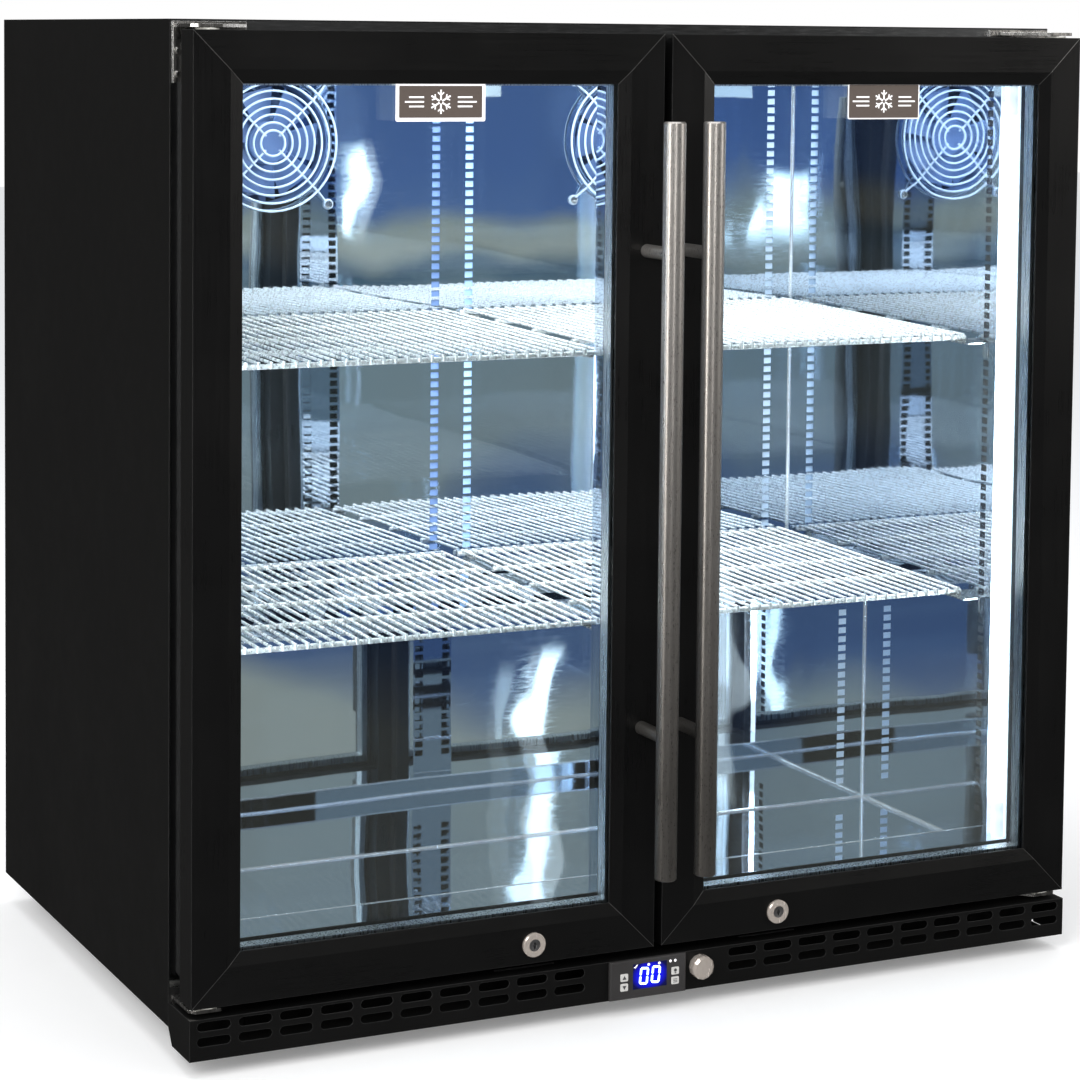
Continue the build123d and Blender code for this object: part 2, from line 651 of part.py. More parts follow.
with BuildPart() as power_cord:
    with BuildLine() as cord:
        FilletPolyline(
            (0, 285, 70), (0, 306, 70), (-60, 306, 70), (-60, 306, 215), (-250, 306, 215),
            (-250, 306, 100), (-90, 306, 100),
            radius=9,
        )
    with BuildSketch(Plane(origin=cord.line @ 0, z_dir=cord.line % 0)):
        Circle(3.5)
    sweep(path=cord.line)
    with Locations(Location((0, 296, 70), (90, 0, 0))):
        Cylinder(radius=5.9, height=10)
    block((-92, 300, 89), (-60, 312, 111))
    with BuildSketch(Plane.YZ.offset(-60)):
        with Locations((306, 100)):
            with GridLocations(0, 12, 1, 2):
                Circle(2)
    extrude(amount=16)
pieces["power_cord"] = power_cord

# ------------------------------------------------------------- plinth and controls

GRILLE_SHEET = 1.2
GRILLE_SLOT_X0 = 428.0
GRILLE_SLOT_PITCH = 37.6
GRILLE_SLOT_ROWS = (44.5, 31.2)
BAFFLE_X = 380.0
BAFFLE_Y = CABINET_FRONT_Y - 2 * GAP
CAM_SLOT_Y = (DOOR_FRONT_Y + CAM_DEPTH - 1.5, DOOR_FRONT_Y + CAM_DEPTH + 4.0)
GRILLE_LIP = 12.0
with BuildPart() as kick_grille:
    block((-SIDE_X, DOOR_FRONT_Y, PLINTH_BOTTOM_Z), (SIDE_X, DOOR_FRONT_Y + GRILLE_SHEET, PLINTH_TOP_Z))
    block((-SIDE_X, DOOR_FRONT_Y, PLINTH_TOP_Z - GRILLE_SHEET), (SIDE_X, DOOR_FRONT_Y + 50, PLINTH_TOP_Z))
    lip_back = (SIDE_X, DOOR_FRONT_Y + GRILLE_LIP, PLINTH_BOTTOM_Z + GRILLE_SHEET)
    block((-SIDE_X, DOOR_FRONT_Y, PLINTH_BOTTOM_Z), lip_back)
    block((-BAFFLE_X, DOOR_FRONT_Y + 49, PLINTH_TOP_Z - GRILLE_SHEET), (BAFFLE_X, BAFFLE_Y, PLINTH_TOP_Z))
    block((-BAFFLE_X, BAFFLE_Y - GRILLE_SHEET, PLINTH_BOTTOM_Z + 2), (BAFFLE_X, BAFFLE_Y, PLINTH_TOP_Z))
    block((KNOB_X - 15, BAFFLE_Y - 3, 26), (KNOB_X + 15, BAFFLE_Y + 1, 30), mode=Mode.SUBTRACT)
    for side in SIDES:
        with BuildSketch(Plane.YZ.offset(side * (SIDE_X - GRILLE_SHEET / 2))):
            with BuildLine():
                Polyline(
                    (DOOR_FRONT_Y, PLINTH_BOTTOM_Z),
                    (DOOR_FRONT_Y, PLINTH_TOP_Z),
                    (CABINET_FRONT_Y - GAP, PLINTH_TOP_Z),
                    (CABINET_FRONT_Y - GAP, CABINET_BOTTOM_Z),
                    (CABINET_FRONT_Y - 10, PLINTH_BOTTOM_Z),
                    close=True,
                )
            make_face()
        extrude(amount=GRILLE_SHEET / 2, both=True)
    with BuildSketch(Plane.XZ.offset(-DOOR_FRONT_Y - 5)):
        for side in SIDES:
            for i in range(10):
                for row_z in GRILLE_SLOT_ROWS:
                    with Locations((side * (GRILLE_SLOT_X0 - i * GRILLE_SLOT_PITCH), row_z)):
                        SlotOverall(30.5, 8)
        with Locations(((PANEL_X[0] + PANEL_X[1]) / 2, 33)):
            Rectangle(72, 30)
        with Locations((KNOB_X, KNOB_Z)):
            Circle(3.4)
    extrude(amount=10, mode=Mode.SUBTRACT)
    for side in SIDES:
        block(
            (side * LOCK_X - 30, CAM_SLOT_Y[0], PLINTH_TOP_Z - 5),
            (side * LOCK_X + 30, CAM_SLOT_Y[1], PLINTH_TOP_Z + 1),
            mode=Mode.SUBTRACT,
        )
pieces["kick_grille"] = kick_grille

# Bracket behind the plinth that takes the thumb screw.
with BuildPart() as plinth_bracket:
    block((KNOB_X - 14, -214, 22), (KNOB_X + 14, -212, 49))
    block((KNOB_X - 14, -214, 27), (KNOB_X + 14, -165, 28.9))
    with Locations(Location((KNOB_X, -213, KNOB_Z), (90, 0, 0))):
        Cylinder(radius=3.0 + RUNNING_GAP, height=6, mode=Mode.SUBTRACT)
pieces["plinth_bracket"] = plinth_bracket

# Controller: bezel in front of the plinth with its case behind.
with BuildPart() as controller_case:
    block((PANEL_X[0], PANEL_FRONT_Y, 15.5), (PANEL_X[1], DOOR_FRONT_Y - GAP, PLINTH_TOP_Z))
    chamfer(controller_case.edges().group_by(Axis.Y)[0], length=1.0)
    block((PANEL_X[0] + 3.2, DOOR_FRONT_Y - GAP, 18.2), (PANEL_X[1] - 3.2, -212, 47.8))
    block(
        (WINDOW_X[0], PANEL_FRONT_Y - 1, WINDOW_Z[0]),
        (WINDOW_X[1], PANEL_FRONT_Y + 1.6, WINDOW_Z[1]),
        mode=Mode.SUBTRACT,
    )
    for button_x, button_z in BUTTON_POSITIONS.values():
        with Locations((button_x, PANEL_FRONT_Y + 2, button_z)):
            Box(BUTTON_WIDE + 0.2, 6.2, BUTTON_HIGH + 0.2, mode=Mode.SUBTRACT)
pieces["controller_case"] = controller_case

with BuildPart() as display_window:
    block(
        (WINDOW_X[0] + GAP, PANEL_FRONT_Y + 0.3, WINDOW_Z[0] + GAP),
        (WINDOW_X[1] - GAP, PANEL_FRONT_Y + 1.55, WINDOW_Z[1] - GAP),
    )
pieces["display_window"] = display_window

# Lit digits: two zeros, each of six bars, on the window's face.
DIGIT_HIGH = 16.0
DIGIT_WIDE = 9.0
DIGIT_BAR = 1.9
with BuildPart() as display_digits:
    with BuildSketch(Plane.XZ.offset(-PANEL_FRONT_Y - 0.3)):
        for digit_x in (-15.6, -3.4):
            with Locations(Location((digit_x, 35.2), -6)):
                with GridLocations(0, DIGIT_HIGH - DIGIT_BAR, 1, 2):
                    SlotOverall(DIGIT_WIDE - DIGIT_BAR, DIGIT_BAR)
                with GridLocations(DIGIT_WIDE - DIGIT_BAR, DIGIT_HIGH / 2 - 0.6, 2, 2):
                    SlotOverall(DIGIT_HIGH / 2 - 1.6, DIGIT_BAR, rotation=90)
    extrude(amount=0.25)
pieces["display_digits"] = display_digits

for button_name, (button_x, button_z) in BUTTON_POSITIONS.items():
    with BuildPart() as button:
        with Locations((button_x, PANEL_FRONT_Y + 1.2, button_z)):
            Box(BUTTON_WIDE, 3.6, BUTTON_HIGH)
        fillet(button.edges().filter_by(Axis.Y), radius=1.2)
        chamfer(button.edges().group_by(Axis.Y)[0], length=0.3)
    pieces[f"button_{button_name}"] = button

# Thumb screw: faceted head outside the plinth, stem into the bracket.
KNOB_PLANE = Plane(origin=(KNOB_X, DOOR_FRONT_Y - GAP, KNOB_Z), x_dir=(1, 0, 0), z_dir=(0, -1, 0))
with BuildPart() as thumb_screw:
    with BuildSketch(KNOB_PLANE):
        RegularPolygon(radius=11, side_count=12)
    extrude(amount=10)
    chamfer(thumb_screw.edges().group_by(Axis.Y)[0], length=2.2)
    with BuildSketch(KNOB_PLANE):
        Circle(3.0)
    extrude(amount=-46)
pieces["thumb_screw"] = thumb_screw

# Levelling feet: pad and threaded stem at each corner, with a lock nut.
with BuildPart() as levelling_feet:
    with BuildSketch():
        with Locations(*FOOT_POSITIONS):
            Circle(20)
    extrude(amount=9)
    chamfer(levelling_feet.edges().group_by(Axis.Z)[-1], length=3)
    with BuildSketch(Plane.XY.offset(9)):
        with Locations(*FOOT_POSITIONS):
            Circle(FOOT_STEM_R)
    extrude(amount=36)
    with BuildSketch(Plane.XY.offset(CABINET_BOTTOM_Z - 7)):
        with Locations(*FOOT_POSITIONS):
            RegularPolygon(radius=10, side_count=6)
    extrude(amount=6.9)
pieces["levelling_feet"] = levelling_feet

# ------------------------------------------------------------------------ hinges

PLATE = 2.5
TOP_PLATE_Z = 893.0
BOTTOM_PLATE_Z = 54.0


def hinge_plate(low_z, thick):
    """The level plate that carries the pivot pin, rounded at the front."""
    with BuildSketch(Plane.XY.offset(low_z)) as plate:
        with BuildLine():
            Polyline(
                (447.0, CABINET_FRONT_Y),
                (447.0, HINGE_Y - 4),
                (442.0, HINGE_Y - 10),
                (420.0, HINGE_Y - 10),
                (386.0, CABINET_FRONT_Y - 14),
                (386.0, CABINET_FRONT_Y),
                close=True,
            )
        make_face()
    extrude(plate.sketch, amount=thick)


with BuildPart() as hinge_right:
    hinge_plate(TOP_PLATE_Z, 3)
    block((382, CABINET_FRONT_Y - PLATE, 888), (447.5, CABINET_FRONT_Y, 898))
    block((439.5, CABINET_FRONT_Y - PLATE, 846), (447.5, CABINET_FRONT_Y, 898))
    with Locations((HINGE_X, HINGE_Y, TOP_PLATE_Z)):
        Cylinder(HINGE_PIN_R, 12, align=(Align.CENTER, Align.CENTER, Align.MAX))
    hinge_plate(BOTTOM_PLATE_Z, 3)
    block((382, CABINET_FRONT_Y - PLATE, 32), (447.5, CABINET_FRONT_Y, BOTTOM_PLATE_Z + 3))
    with Locations((HINGE_X, HINGE_Y, BOTTOM_PLATE_Z + 3)):
        Cylinder(HINGE_PIN_R, 13, align=(Align.CENTER, Align.CENTER, Align.MIN))
with BuildPart() as hinge_brackets:
    add(hinge_right.part)
    mirror(hinge_right.part, about=Plane.YZ)
    screw_holes(SCREW_R + RUNNING_GAP, CABINET_FRONT_Y + 5)
pieces["hinge_brackets"] = hinge_brackets

with BuildPart() as hinge_screws:
    for side in SIDES:
        for screw_x, screw_z in TOP_SCREWS + BOTTOM_SCREWS:
            head = Plane(
                origin=(side * screw_x, CABINET_FRONT_Y - PLATE, screw_z),
                x_dir=(1, 0, 0),
                z_dir=(0, -1, 0),
            )
            with Locations(head):
                Cone(3.4, 2.2, 1.8, align=(Align.CENTER, Align.CENTER, Align.MIN))
                Cylinder(SCREW_R, 14, align=(Align.CENTER, Align.CENTER, Align.MAX))
pieces["hinge_screws"] = hinge_screws

# ------------------------------------------------------------------------- doors


def frame_member(length):
    """A hollow mitred bar along X: outer edge on Z = 0, front face on Y = 0."""
    with BuildPart() as bar:
        with BuildSketch(Plane.YZ):
            with BuildLine():
                Polyline(
                    (0, 0),
                    (0, FRAME_FLAT),
                    (FRAME_SLOPE, FRAME_FACE),
                    (FRAME_SLOPE + FRAME_LIP, FRAME_FACE),
                    (FRAME_SLOPE + FRAME_LIP, GLASS_EDGE - 1),
                    (27, GLASS_EDGE - 1),
                    (27, FRAME_REAR),
                    (44, FRAME_REAR),
                    (44, GASKET_OUTER - 0.5),
                    (30, GASKET_OUTER - 0.5),
                    (30, 0),
                    close=True,
                )
            make_face()
            with Locations((15, 14.5)):
                Rectangle(24, 23, mode=Mode.SUBTRACT)
            with Locations((36.5, 22.5)):
                Rectangle(9, 21, mode=Mode.SUBTRACT)
        extrude(amount=length / 2, both=True)
        for end in SIDES:
            split(
                bisect_by=Plane(origin=(end * (length / 2 - 0.04), 0, 0), z_dir=(end, 0, 1)),
                keep=Keep.BOTTOM,
            )
    return bar


rail = frame_member(DOOR_WIDTH)
stile = frame_member(DOOR_HEIGHT)

# Left door frame: four mitred bars, bored for the lock and the hinge bushes.
with BuildPart() as door_frame_left:
    with Locations(Location((DOOR_MID_X, DOOR_FRONT_Y, DOOR_BOTTOM_Z))):
        add(rail.part)
    with Locations(Location((DOOR_MID_X, DOOR_FRONT_Y, DOOR_TOP_Z), (0, 180, 0))):
        add(rail.part)
    with Locations(Location((-DOOR_EDGE_X, DOOR_FRONT_Y, DOOR_MID_Z), (0, 90, 0))):
        add(stile.part)
    with Locations(Location((-DOOR_MEETING_X, DOOR_FRONT_Y, DOOR_MID_Z), (0, -90, 0))):
        add(stile.part)
    with Locations(Location((-LOCK_X, DOOR_FRONT_Y, LOCK_Z), (90, 0, 0))):
        Cylinder(LOCK_BODY_R + GAP, 10, mode=Mode.SUBTRACT)
    block(
        (-LOCK_X - 8, DOOR_FRONT_Y + CAM_DEPTH - 1, DOOR_BOTTOM_Z - 1),
        (-LOCK_X + 36, DOOR_FRONT_Y + CAM_DEPTH + 3.5, DOOR_BOTTOM_Z + 4),
        mode=Mode.SUBTRACT,
    )
    for bush_z in (DOOR_BOTTOM_Z, DOOR_TOP_Z):
        with Locations((-HINGE_X, HINGE_Y, bush_z)):
            Cylinder(BUSH_R + RUNNING_GAP, 8, mode=Mode.SUBTRACT)

# Double glazing: two panes with an aluminium spacer between their edges.
GLASS_SIZE = (DOOR_WIDTH - 2 * GLASS_EDGE, DOOR_HEIGHT - 2 * GLASS_EDGE)
OUTER_PANE_Y = DOOR_FRONT_Y + GLAZING_Y
INNER_PANE_Y = OUTER_PANE_Y + GLAZING_THICK - PANE
with BuildPart() as door_glass_left:
    for pane_y in (OUTER_PANE_Y, INNER_PANE_Y):
        with Locations((DOOR_MID_X, pane_y + PANE / 2, DOOR_MID_Z)):
            Box(GLASS_SIZE[0], PANE, GLASS_SIZE[1])

with BuildPart() as glass_spacer_left:
    with BuildSketch(Plane.XZ.offset(-INNER_PANE_Y + 0.02)):
        with Locations((DOOR_MID_X, DOOR_MID_Z)):
            Rectangle(DOOR_WIDTH - 80, DOOR_HEIGHT - 80)
            Rectangle(DOOR_WIDTH - 93, DOOR_HEIGHT - 93, mode=Mode.SUBTRACT)
    extrude(amount=INNER_PANE_Y - OUTER_PANE_Y - PANE - 0.04)

# Magnetic gasket: soft ring between the door and the cabinet's front frame.
with BuildPart() as door_gasket_left:
    with BuildSketch(Plane.XZ.offset(-DOOR_FRONT_Y - 55.7)):
        with Locations((DOOR_MID_X, DOOR_MID_Z)):
            RectangleRounded(DOOR_WIDTH - 2 * GASKET_OUTER, DOOR_HEIGHT - 2 * GASKET_OUTER, 4)
            Rectangle(
                DOOR_WIDTH - 2 * GASKET_INNER, DOOR_HEIGHT - 2 * GASKET_INNER, mode=Mode.SUBTRACT
            )
    extrude(amount=11.6)
    outer_rim = door_gasket_left.faces().sort_by(Axis.Y)[-1].outer_wire()
    fillet(outer_rim.edges(), radius=3.9)

# Handle: round bar on two posts.
with BuildPart() as door_handle_left:
    with BuildSketch(Plane.XY.offset(HANDLE_BOTTOM_Z)):
        with Locations((-HANDLE_X, HANDLE_Y)):
            Circle(HANDLE_R)
    extrude(amount=HANDLE_TOP_Z - HANDLE_BOTTOM_Z)
    chamfer(door_handle_left.edges(), length=1.2)
    with BuildSketch(Plane.XZ.offset(-DOOR_FRONT_Y + GAP)):
        for post_z in HANDLE_POST_ZS:
            with Locations((-HANDLE_X, post_z)):
                Circle(6.0)
    extrude(amount=DOOR_FRONT_Y - HANDLE_Y)

# Cam lock: fixed body with a flange, and the plug that turns the cam.
LOCK_PLANE = Plane(origin=(-LOCK_X, DOOR_FRONT_Y, LOCK_Z), x_dir=(1, 0, 0), z_dir=(0, -1, 0))
with BuildPart() as lock_body_left:
    with BuildSketch(LOCK_PLANE.offset(-CAM_DEPTH + 0.2)):
        Circle(LOCK_BODY_R)
    extrude(amount=CAM_DEPTH)
    with BuildSketch(LOCK_PLANE.offset(GAP)):
        Circle(11)
    extrude(amount=3.2)
    chamfer(lock_body_left.edges().group_by(Axis.Y)[0], length=0.9)
    with BuildSketch(LOCK_PLANE.offset(5)):
        Circle(LOCK_PLUG_R + RUNNING_GAP)
    extrude(amount=-30, mode=Mode.SUBTRACT)

with BuildPart() as lock_plug_left:
    with BuildSketch(LOCK_PLANE.offset(2.9)):
        Circle(LOCK_PLUG_R)
    extrude(amount=-CAM_DEPTH - 2.9)
    with BuildSketch(LOCK_PLANE.offset(2.9)):
        Circle(1.7)
        with Locations((0, -0.6)):
            Rectangle(1.7, 6.0)
    extrude(amount=-5, mode=Mode.SUBTRACT)
    with BuildSketch(LOCK_PLANE.offset(-CAM_DEPTH)):
        with Locations((CAM_REACH / 2 - 2.5, 0)):
            SlotOverall(CAM_REACH + 5, 11)
    extrude(amount=-2.4)

# Nylon hinge bushes at the top and bottom of the door.
with BuildPart() as hinge_bushes_left:
    with BuildSketch(Plane.XY.offset(DOOR_TOP_Z - 10)):
        with Locations((-HINGE_X, HINGE_Y)):
            Circle(BUSH_R)
            Circle(HINGE_PIN_R + RUNNING_GAP, mode=Mode.SUBTRACT)
    extrude(amount=10.1)
    with BuildSketch(Plane.XY.offset(DOOR_TOP_Z + 0.05)):
        with Locations((-HINGE_X, HINGE_Y)):
            Circle(10)
            Circle(HINGE_PIN_R + RUNNING_GAP, mode=Mode.SUBTRACT)
    extrude(amount=1.5)
    with BuildSketch(Plane.XY.offset(BOTTOM_PLATE_Z + 3.05)):
        with Locations((-HINGE_X, HINGE_Y)):
            Circle(10)
            Circle(HINGE_PIN_R + RUNNING_GAP, mode=Mode.SUBTRACT)
    extrude(amount=2.9)
    with BuildSketch(Plane.XY.offset(DOOR_BOTTOM_Z - 0.1)):
        with Locations((-HINGE_X, HINGE_Y)):
            Circle(BUSH_R)
            Circle(HINGE_PIN_R + RUNNING_GAP, mode=Mode.SUBTRACT)
    extrude(amount=11)

left_door = {
    "door_frame": door_frame_left,
    "door_glass": door_glass_left,
    "glass_spacer": glass_spacer_left,
    "door_gasket": door_gasket_left,
    "door_handle": door_handle_left,
    "lock_body": lock_body_left,
    "lock_plug": lock_plug_left,
    "hinge_bushes": hinge_bushes_left,
}
for piece_name, piece in left_door.items():
    pieces[f"{piece_name}_left"] = piece
    pieces[f"{piece_name}_right"] = mirrored(piece)

# ------------------------------------------------------------------------ output

for piece_name, piece in pieces.items():
    piece.part.label = piece_name
    export_step(piece.part, f"parts/{piece_name}.step")
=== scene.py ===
"""Looks for the two-door under-counter fridge: materials, small dressing pieces, studio and camera."""

import json
import math

import bmesh
import bpy
from mathutils import Matrix, Vector


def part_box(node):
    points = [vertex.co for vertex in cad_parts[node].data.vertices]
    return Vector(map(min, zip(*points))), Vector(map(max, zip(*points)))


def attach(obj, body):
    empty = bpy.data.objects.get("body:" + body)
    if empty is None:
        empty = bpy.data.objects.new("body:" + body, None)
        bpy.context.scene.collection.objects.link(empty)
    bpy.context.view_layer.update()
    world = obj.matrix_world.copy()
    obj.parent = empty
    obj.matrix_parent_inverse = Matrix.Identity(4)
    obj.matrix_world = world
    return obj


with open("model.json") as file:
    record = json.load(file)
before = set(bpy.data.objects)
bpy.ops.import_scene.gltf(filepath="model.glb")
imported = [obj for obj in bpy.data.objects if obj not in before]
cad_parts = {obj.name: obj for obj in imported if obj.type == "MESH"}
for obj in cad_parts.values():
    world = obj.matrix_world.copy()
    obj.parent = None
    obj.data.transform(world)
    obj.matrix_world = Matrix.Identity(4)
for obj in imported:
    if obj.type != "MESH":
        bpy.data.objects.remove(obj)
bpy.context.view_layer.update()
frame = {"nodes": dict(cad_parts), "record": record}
record = frame["record"]
scene = bpy.context.scene
MM = 0.001


# ------------------------------------------------------------------ node helpers


class Look:
    """A material under construction: adds shader nodes and joins them."""

    def __init__(self, name, surface="ShaderNodeBsdfPrincipled"):
        self.material = bpy.data.materials.new(name)
        self.material.use_nodes = True
        self.tree = self.material.node_tree
        self.tree.nodes.clear()
        self.output = self.add("ShaderNodeOutputMaterial")
        self.place = self.add("ShaderNodeTexCoord").outputs["Object"]
        self.surface = self.add(surface)
        self.put(self.output, "Surface", self.surface.outputs[0])

    def add(self, kind, sockets=None, **settings):
        node = self.tree.nodes.new(kind)
        for name, value in settings.items():
            setattr(node, name, value)
        for name, value in (sockets or {}).items():
            self.put(node, name, value)
        return node

    def put(self, node, name, value):
        socket = node.inputs[name]
        if isinstance(value, bpy.types.NodeSocket):
            self.tree.links.new(value, socket)
        elif isinstance(value, tuple) and len(value) == 3 and socket.type == "RGBA":
            socket.default_value = (*value, 1.0)
        else:
            socket.default_value = value

    def set(self, **sockets):
        for name, value in sockets.items():
            self.put(self.surface, name.replace("_", " "), value)

    def stretched(self, scale):
        node = self.add("ShaderNodeMapping", {"Vector": self.place, "Scale": scale})
        return node.outputs["Vector"]

    def noise(self, scale, detail=2.0, stretch=None, roughness=0.5, distortion=0.0):
        vector = self.stretched(stretch) if stretch else self.place
        sockets = {
            "Vector": vector,
            "Scale": scale,
            "Detail": detail,
            "Roughness": roughness,
            "Distortion": distortion,
        }
        return self.add("ShaderNodeTexNoise", sockets).outputs[0]

    def spread(self, value, low, high, to_low, to_high):
        """Value between low and high, moved to a new range and clamped."""
        sockets = {
            "Value": value,
            "From Min": low,
            "From Max": high,
            "To Min": to_low,
            "To Max": to_high,
        }
        return self.add("ShaderNodeMapRange", sockets).outputs[0]

    def math(self, operation, first, second=0.0):
        return self.add("ShaderNodeMath", {0: first, 1: second}, operation=operation).outputs[0]

    def blend(self, factor, first, second, blend_type="MIX"):
        node = self.add("ShaderNodeMixRGB", {0: factor, 1: first, 2: second}, blend_type=blend_type)
        return node.outputs[0]

    def split(self):
        return self.add("ShaderNodeSeparateXYZ", {0: self.place}).outputs

    def bump(self, height, distance, strength=1.0, normal=None):
        sockets = {"Height": height, "Distance": distance, "Strength": strength}
        if normal:
            sockets["Normal"] = normal
        return self.add("ShaderNodeBump", sockets).outputs[0]

    def rounded(self, radius):
        """The surface normal, softened near hard edges."""
        return self.add("ShaderNodeBevel", {"Radius": radius}, samples=4).outputs[0]

    def edges(self, radius):
        """One on hard edges, fading to zero away from them."""
        soft = self.rounded(radius)
        true = self.add("ShaderNodeNewGeometry").outputs["Normal"]
        dot = self.add("ShaderNodeVectorMath", {0: soft, 1: true}, operation="DOT_PRODUCT")
        return self.spread(dot.outputs["Value"], 0.98, 0.75, 0.0, 1.0)


# --------------------------------------------------------------------- materials

# The front sheet is black up to this height above the plinth: black paint, and painted shade for the dark
# behind the plinth slots.
PAINT_AND_SHADE_RISE = 12 * MM
# Light covers: the glow of the middle, its share left at the ends, and the lengths of end and fade.
LIGHT_STRENGTH, LIGHT_END_SHARE = 40.0, 0.03
DARK_END, END_FADE = 35 * MM, 35 * MM
DIODE_PITCH = 16.7 * MM
# The handles are painted darker towards their feet as painted shade, from this far below the top to this far
# above the bottom.
HANDLE_END = 80 * MM


def powder_coat():
    """Satin black powder coat: fine orange peel, faint handling marks, and edges painted paler as a highlight.
    """
    look = Look("satin_black_powder_coat")
    marks = look.noise(7.0, 4.0, roughness=0.65)
    peel = look.noise(1400.0, 1.0)
    painted_edge_highlight = look.edges(0.0008)
    look.set(
        # Paler on hard edges: a painted highlight where the edges would catch the light.
        Base_Color=look.blend(painted_edge_highlight, (0.0040, 0.0040, 0.0040), (0.05, 0.05, 0.05)),
        Roughness=look.spread(marks, 0.3, 0.7, 0.4, 0.55),
        Specular_IOR_Level=0.22,
        Normal=look.bump(peel, 0.00006, 0.5, look.rounded(0.0006)),
    )
    return look.material


def galvanised():
    """Zinc coating: overlapping grey crystals of different brightness."""
    look = Look("galvanised_sheet")
    crystals = look.add("ShaderNodeTexVoronoi", {"Vector": look.place, "Scale": 130.0})
    tone = look.add("ShaderNodeSeparateColor", {0: crystals.outputs["Color"]}).outputs[0]
    stain = look.noise(9.0, 5.0)
    grey = look.blend(tone, (0.42, 0.43, 0.44), (0.62, 0.63, 0.64))
    look.set(
        Base_Color=look.blend(look.spread(stain, 0.35, 0.75, 0.0, 0.5), grey, (0.33, 0.32, 0.31)),
        Metallic=1.0,
        Roughness=look.spread(tone, 0.0, 1.0, 0.3, 0.5),
        Normal=look.bump(tone, 0.00004, 0.3),
    )
    return look.material


def foam():
    """Foam block with a dark facing: dull, slightly mottled, pitted."""
    look = Look("faced_foam")
    cells = look.add("ShaderNodeTexVoronoi", {"Vector": look.place, "Scale": 900.0}).outputs[0]
    tint = look.noise(20.0, 3.0)
    look.set(
        Base_Color=look.blend(tint, (0.018, 0.019, 0.021), (0.040, 0.040, 0.042)),
        Roughness=0.9,
        Normal=look.bump(cells, 0.0004, 0.6),
    )
    return look.material


def polished_steel():
    """Mirror-polished sheet: gently buckled, with fine rub marks and a blue cast."""
    look = Look("polished_sheet")
    swell = look.noise(2.6, 1.0, distortion=0.5)
    dents = look.noise(11.0, 1.5, stretch=(1.0, 1.0, 0.5))
    rubs = look.noise(60.0, 4.0, stretch=(1.0, 1.0, 9.0))
    cloud = look.noise(5.0, 3.0)
    look.set(
        Base_Color=look.blend(cloud, (0.66, 0.74, 0.86), (0.80, 0.86, 0.93)),
        Metallic=1.0,
        Roughness=look.spread(rubs, 0.35, 0.8, 0.008, 0.05),
        Normal=look.bump(dents, 0.00035, 0.5, look.bump(swell, 0.0022, 0.6)),
    )
    return look.material


def front_sheet():
    """The cabinet's front sheet: polished round the opening, black below it, as paint and as painted shade
    behind the plinth slots.
    """
    look = Look("front_sheet")
    rubs = look.noise(60.0, 4.0, stretch=(1.0, 1.0, 9.0))
    # Black below the plinth top: partly the sheet's paint, partly painted shade seen through the plinth slots.
    below = look.math("LESS_THAN", look.split()[2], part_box("kick_grille")[1].z + PAINT_AND_SHADE_RISE)
    polish = look.spread(rubs, 0.35, 0.75, 0.08, 0.2)
    look.set(
        Base_Color=look.blend(below, (0.66, 0.68, 0.70), (0.006, 0.006, 0.006)),
        Metallic=look.math("SUBTRACT", 1.0, below),
        Roughness=look.math("ADD", polish, look.math("MULTIPLY", below, 0.4)),
        Normal=look.bump(rubs, 0.00005, 0.3),
    )
    return look.material


def bright_wire():
    """Bright-plated wire with tiny drawing marks and a milky sheen."""
    look = Look("bright_wire")
    marks = look.noise(240.0, 2.0)
    look.set(
        Base_Color=look.blend(marks, (0.88, 0.88, 0.88), (1.0, 0.99, 0.98)),
        Metallic=0.45,
        Roughness=look.spread(marks, 0.3, 0.7, 0.22, 0.36),
    )
    return look.material


def guard_wire():
    """Fan guard wire: thick, slightly glossy white-silver coating, painted darker and bluer as painted shade.
    """
    look = Look("coated_guard_wire")
    marks = look.noise(300.0, 2.0)
    look.set(
        # Blue-grey instead of white-silver: painted shade and a blue cast, so that the wire looks as dim as
        # the light round the fans.
        Base_Color=look.blend(marks, (0.38, 0.47, 0.60), (0.50, 0.59, 0.72)),
        Metallic=0.35,
        Roughness=look.spread(marks, 0.3, 0.7, 0.3, 0.42),
        Normal=look.bump(marks, 0.00003, 0.3),
    )
    return look.material


def bright_stainless():
    """Stainless brackets and screws: short rolled grain, and bright edges painted in as a highlight."""
    look = Look("bright_stainless")
    grain = look.noise(300.0, 3.0, stretch=(1.0, 1.0, 0.1))
    painted_edge_highlight = look.edges(0.0005)
    look.set(
        # Brighter on hard edges: a painted highlight.
        Base_Color=look.blend(painted_edge_highlight, (0.66, 0.65, 0.63), (0.88, 0.87, 0.85)),
        Metallic=1.0,
        Roughness=look.spread(grain, 0.3, 0.7, 0.17, 0.32),
        Normal=look.bump(grain, 0.00002, 0.4, look.rounded(0.0004)),
    )
    return look.material


def moulded_plastic(name, dark, light, rough=0.45, texture=900.0):
    """Moulded plastic with spark-eroded texture and slightly paler edges, painted in as a highlight."""
    look = Look(name)
    skin = look.noise(texture, 2.0)
    patch = look.noise(18.0, 3.0)
    painted_edge_highlight = look.edges(0.0005)
    body = look.blend(look.spread(patch, 0.3, 0.7, 0.0, 0.6), dark, light)
    look.set(
        # Paler on hard edges: a painted highlight.
        Base_Color=look.blend(look.math("MULTIPLY", painted_edge_highlight, 0.6), body, tuple(c * 1.8 for c in light)),
        Roughness=look.spread(patch, 0.3, 0.7, rough - 0.06, rough + 0.08),
        Normal=look.bump(skin, 0.00005, 0.5, look.rounded(0.0004)),
    )
    return look.material


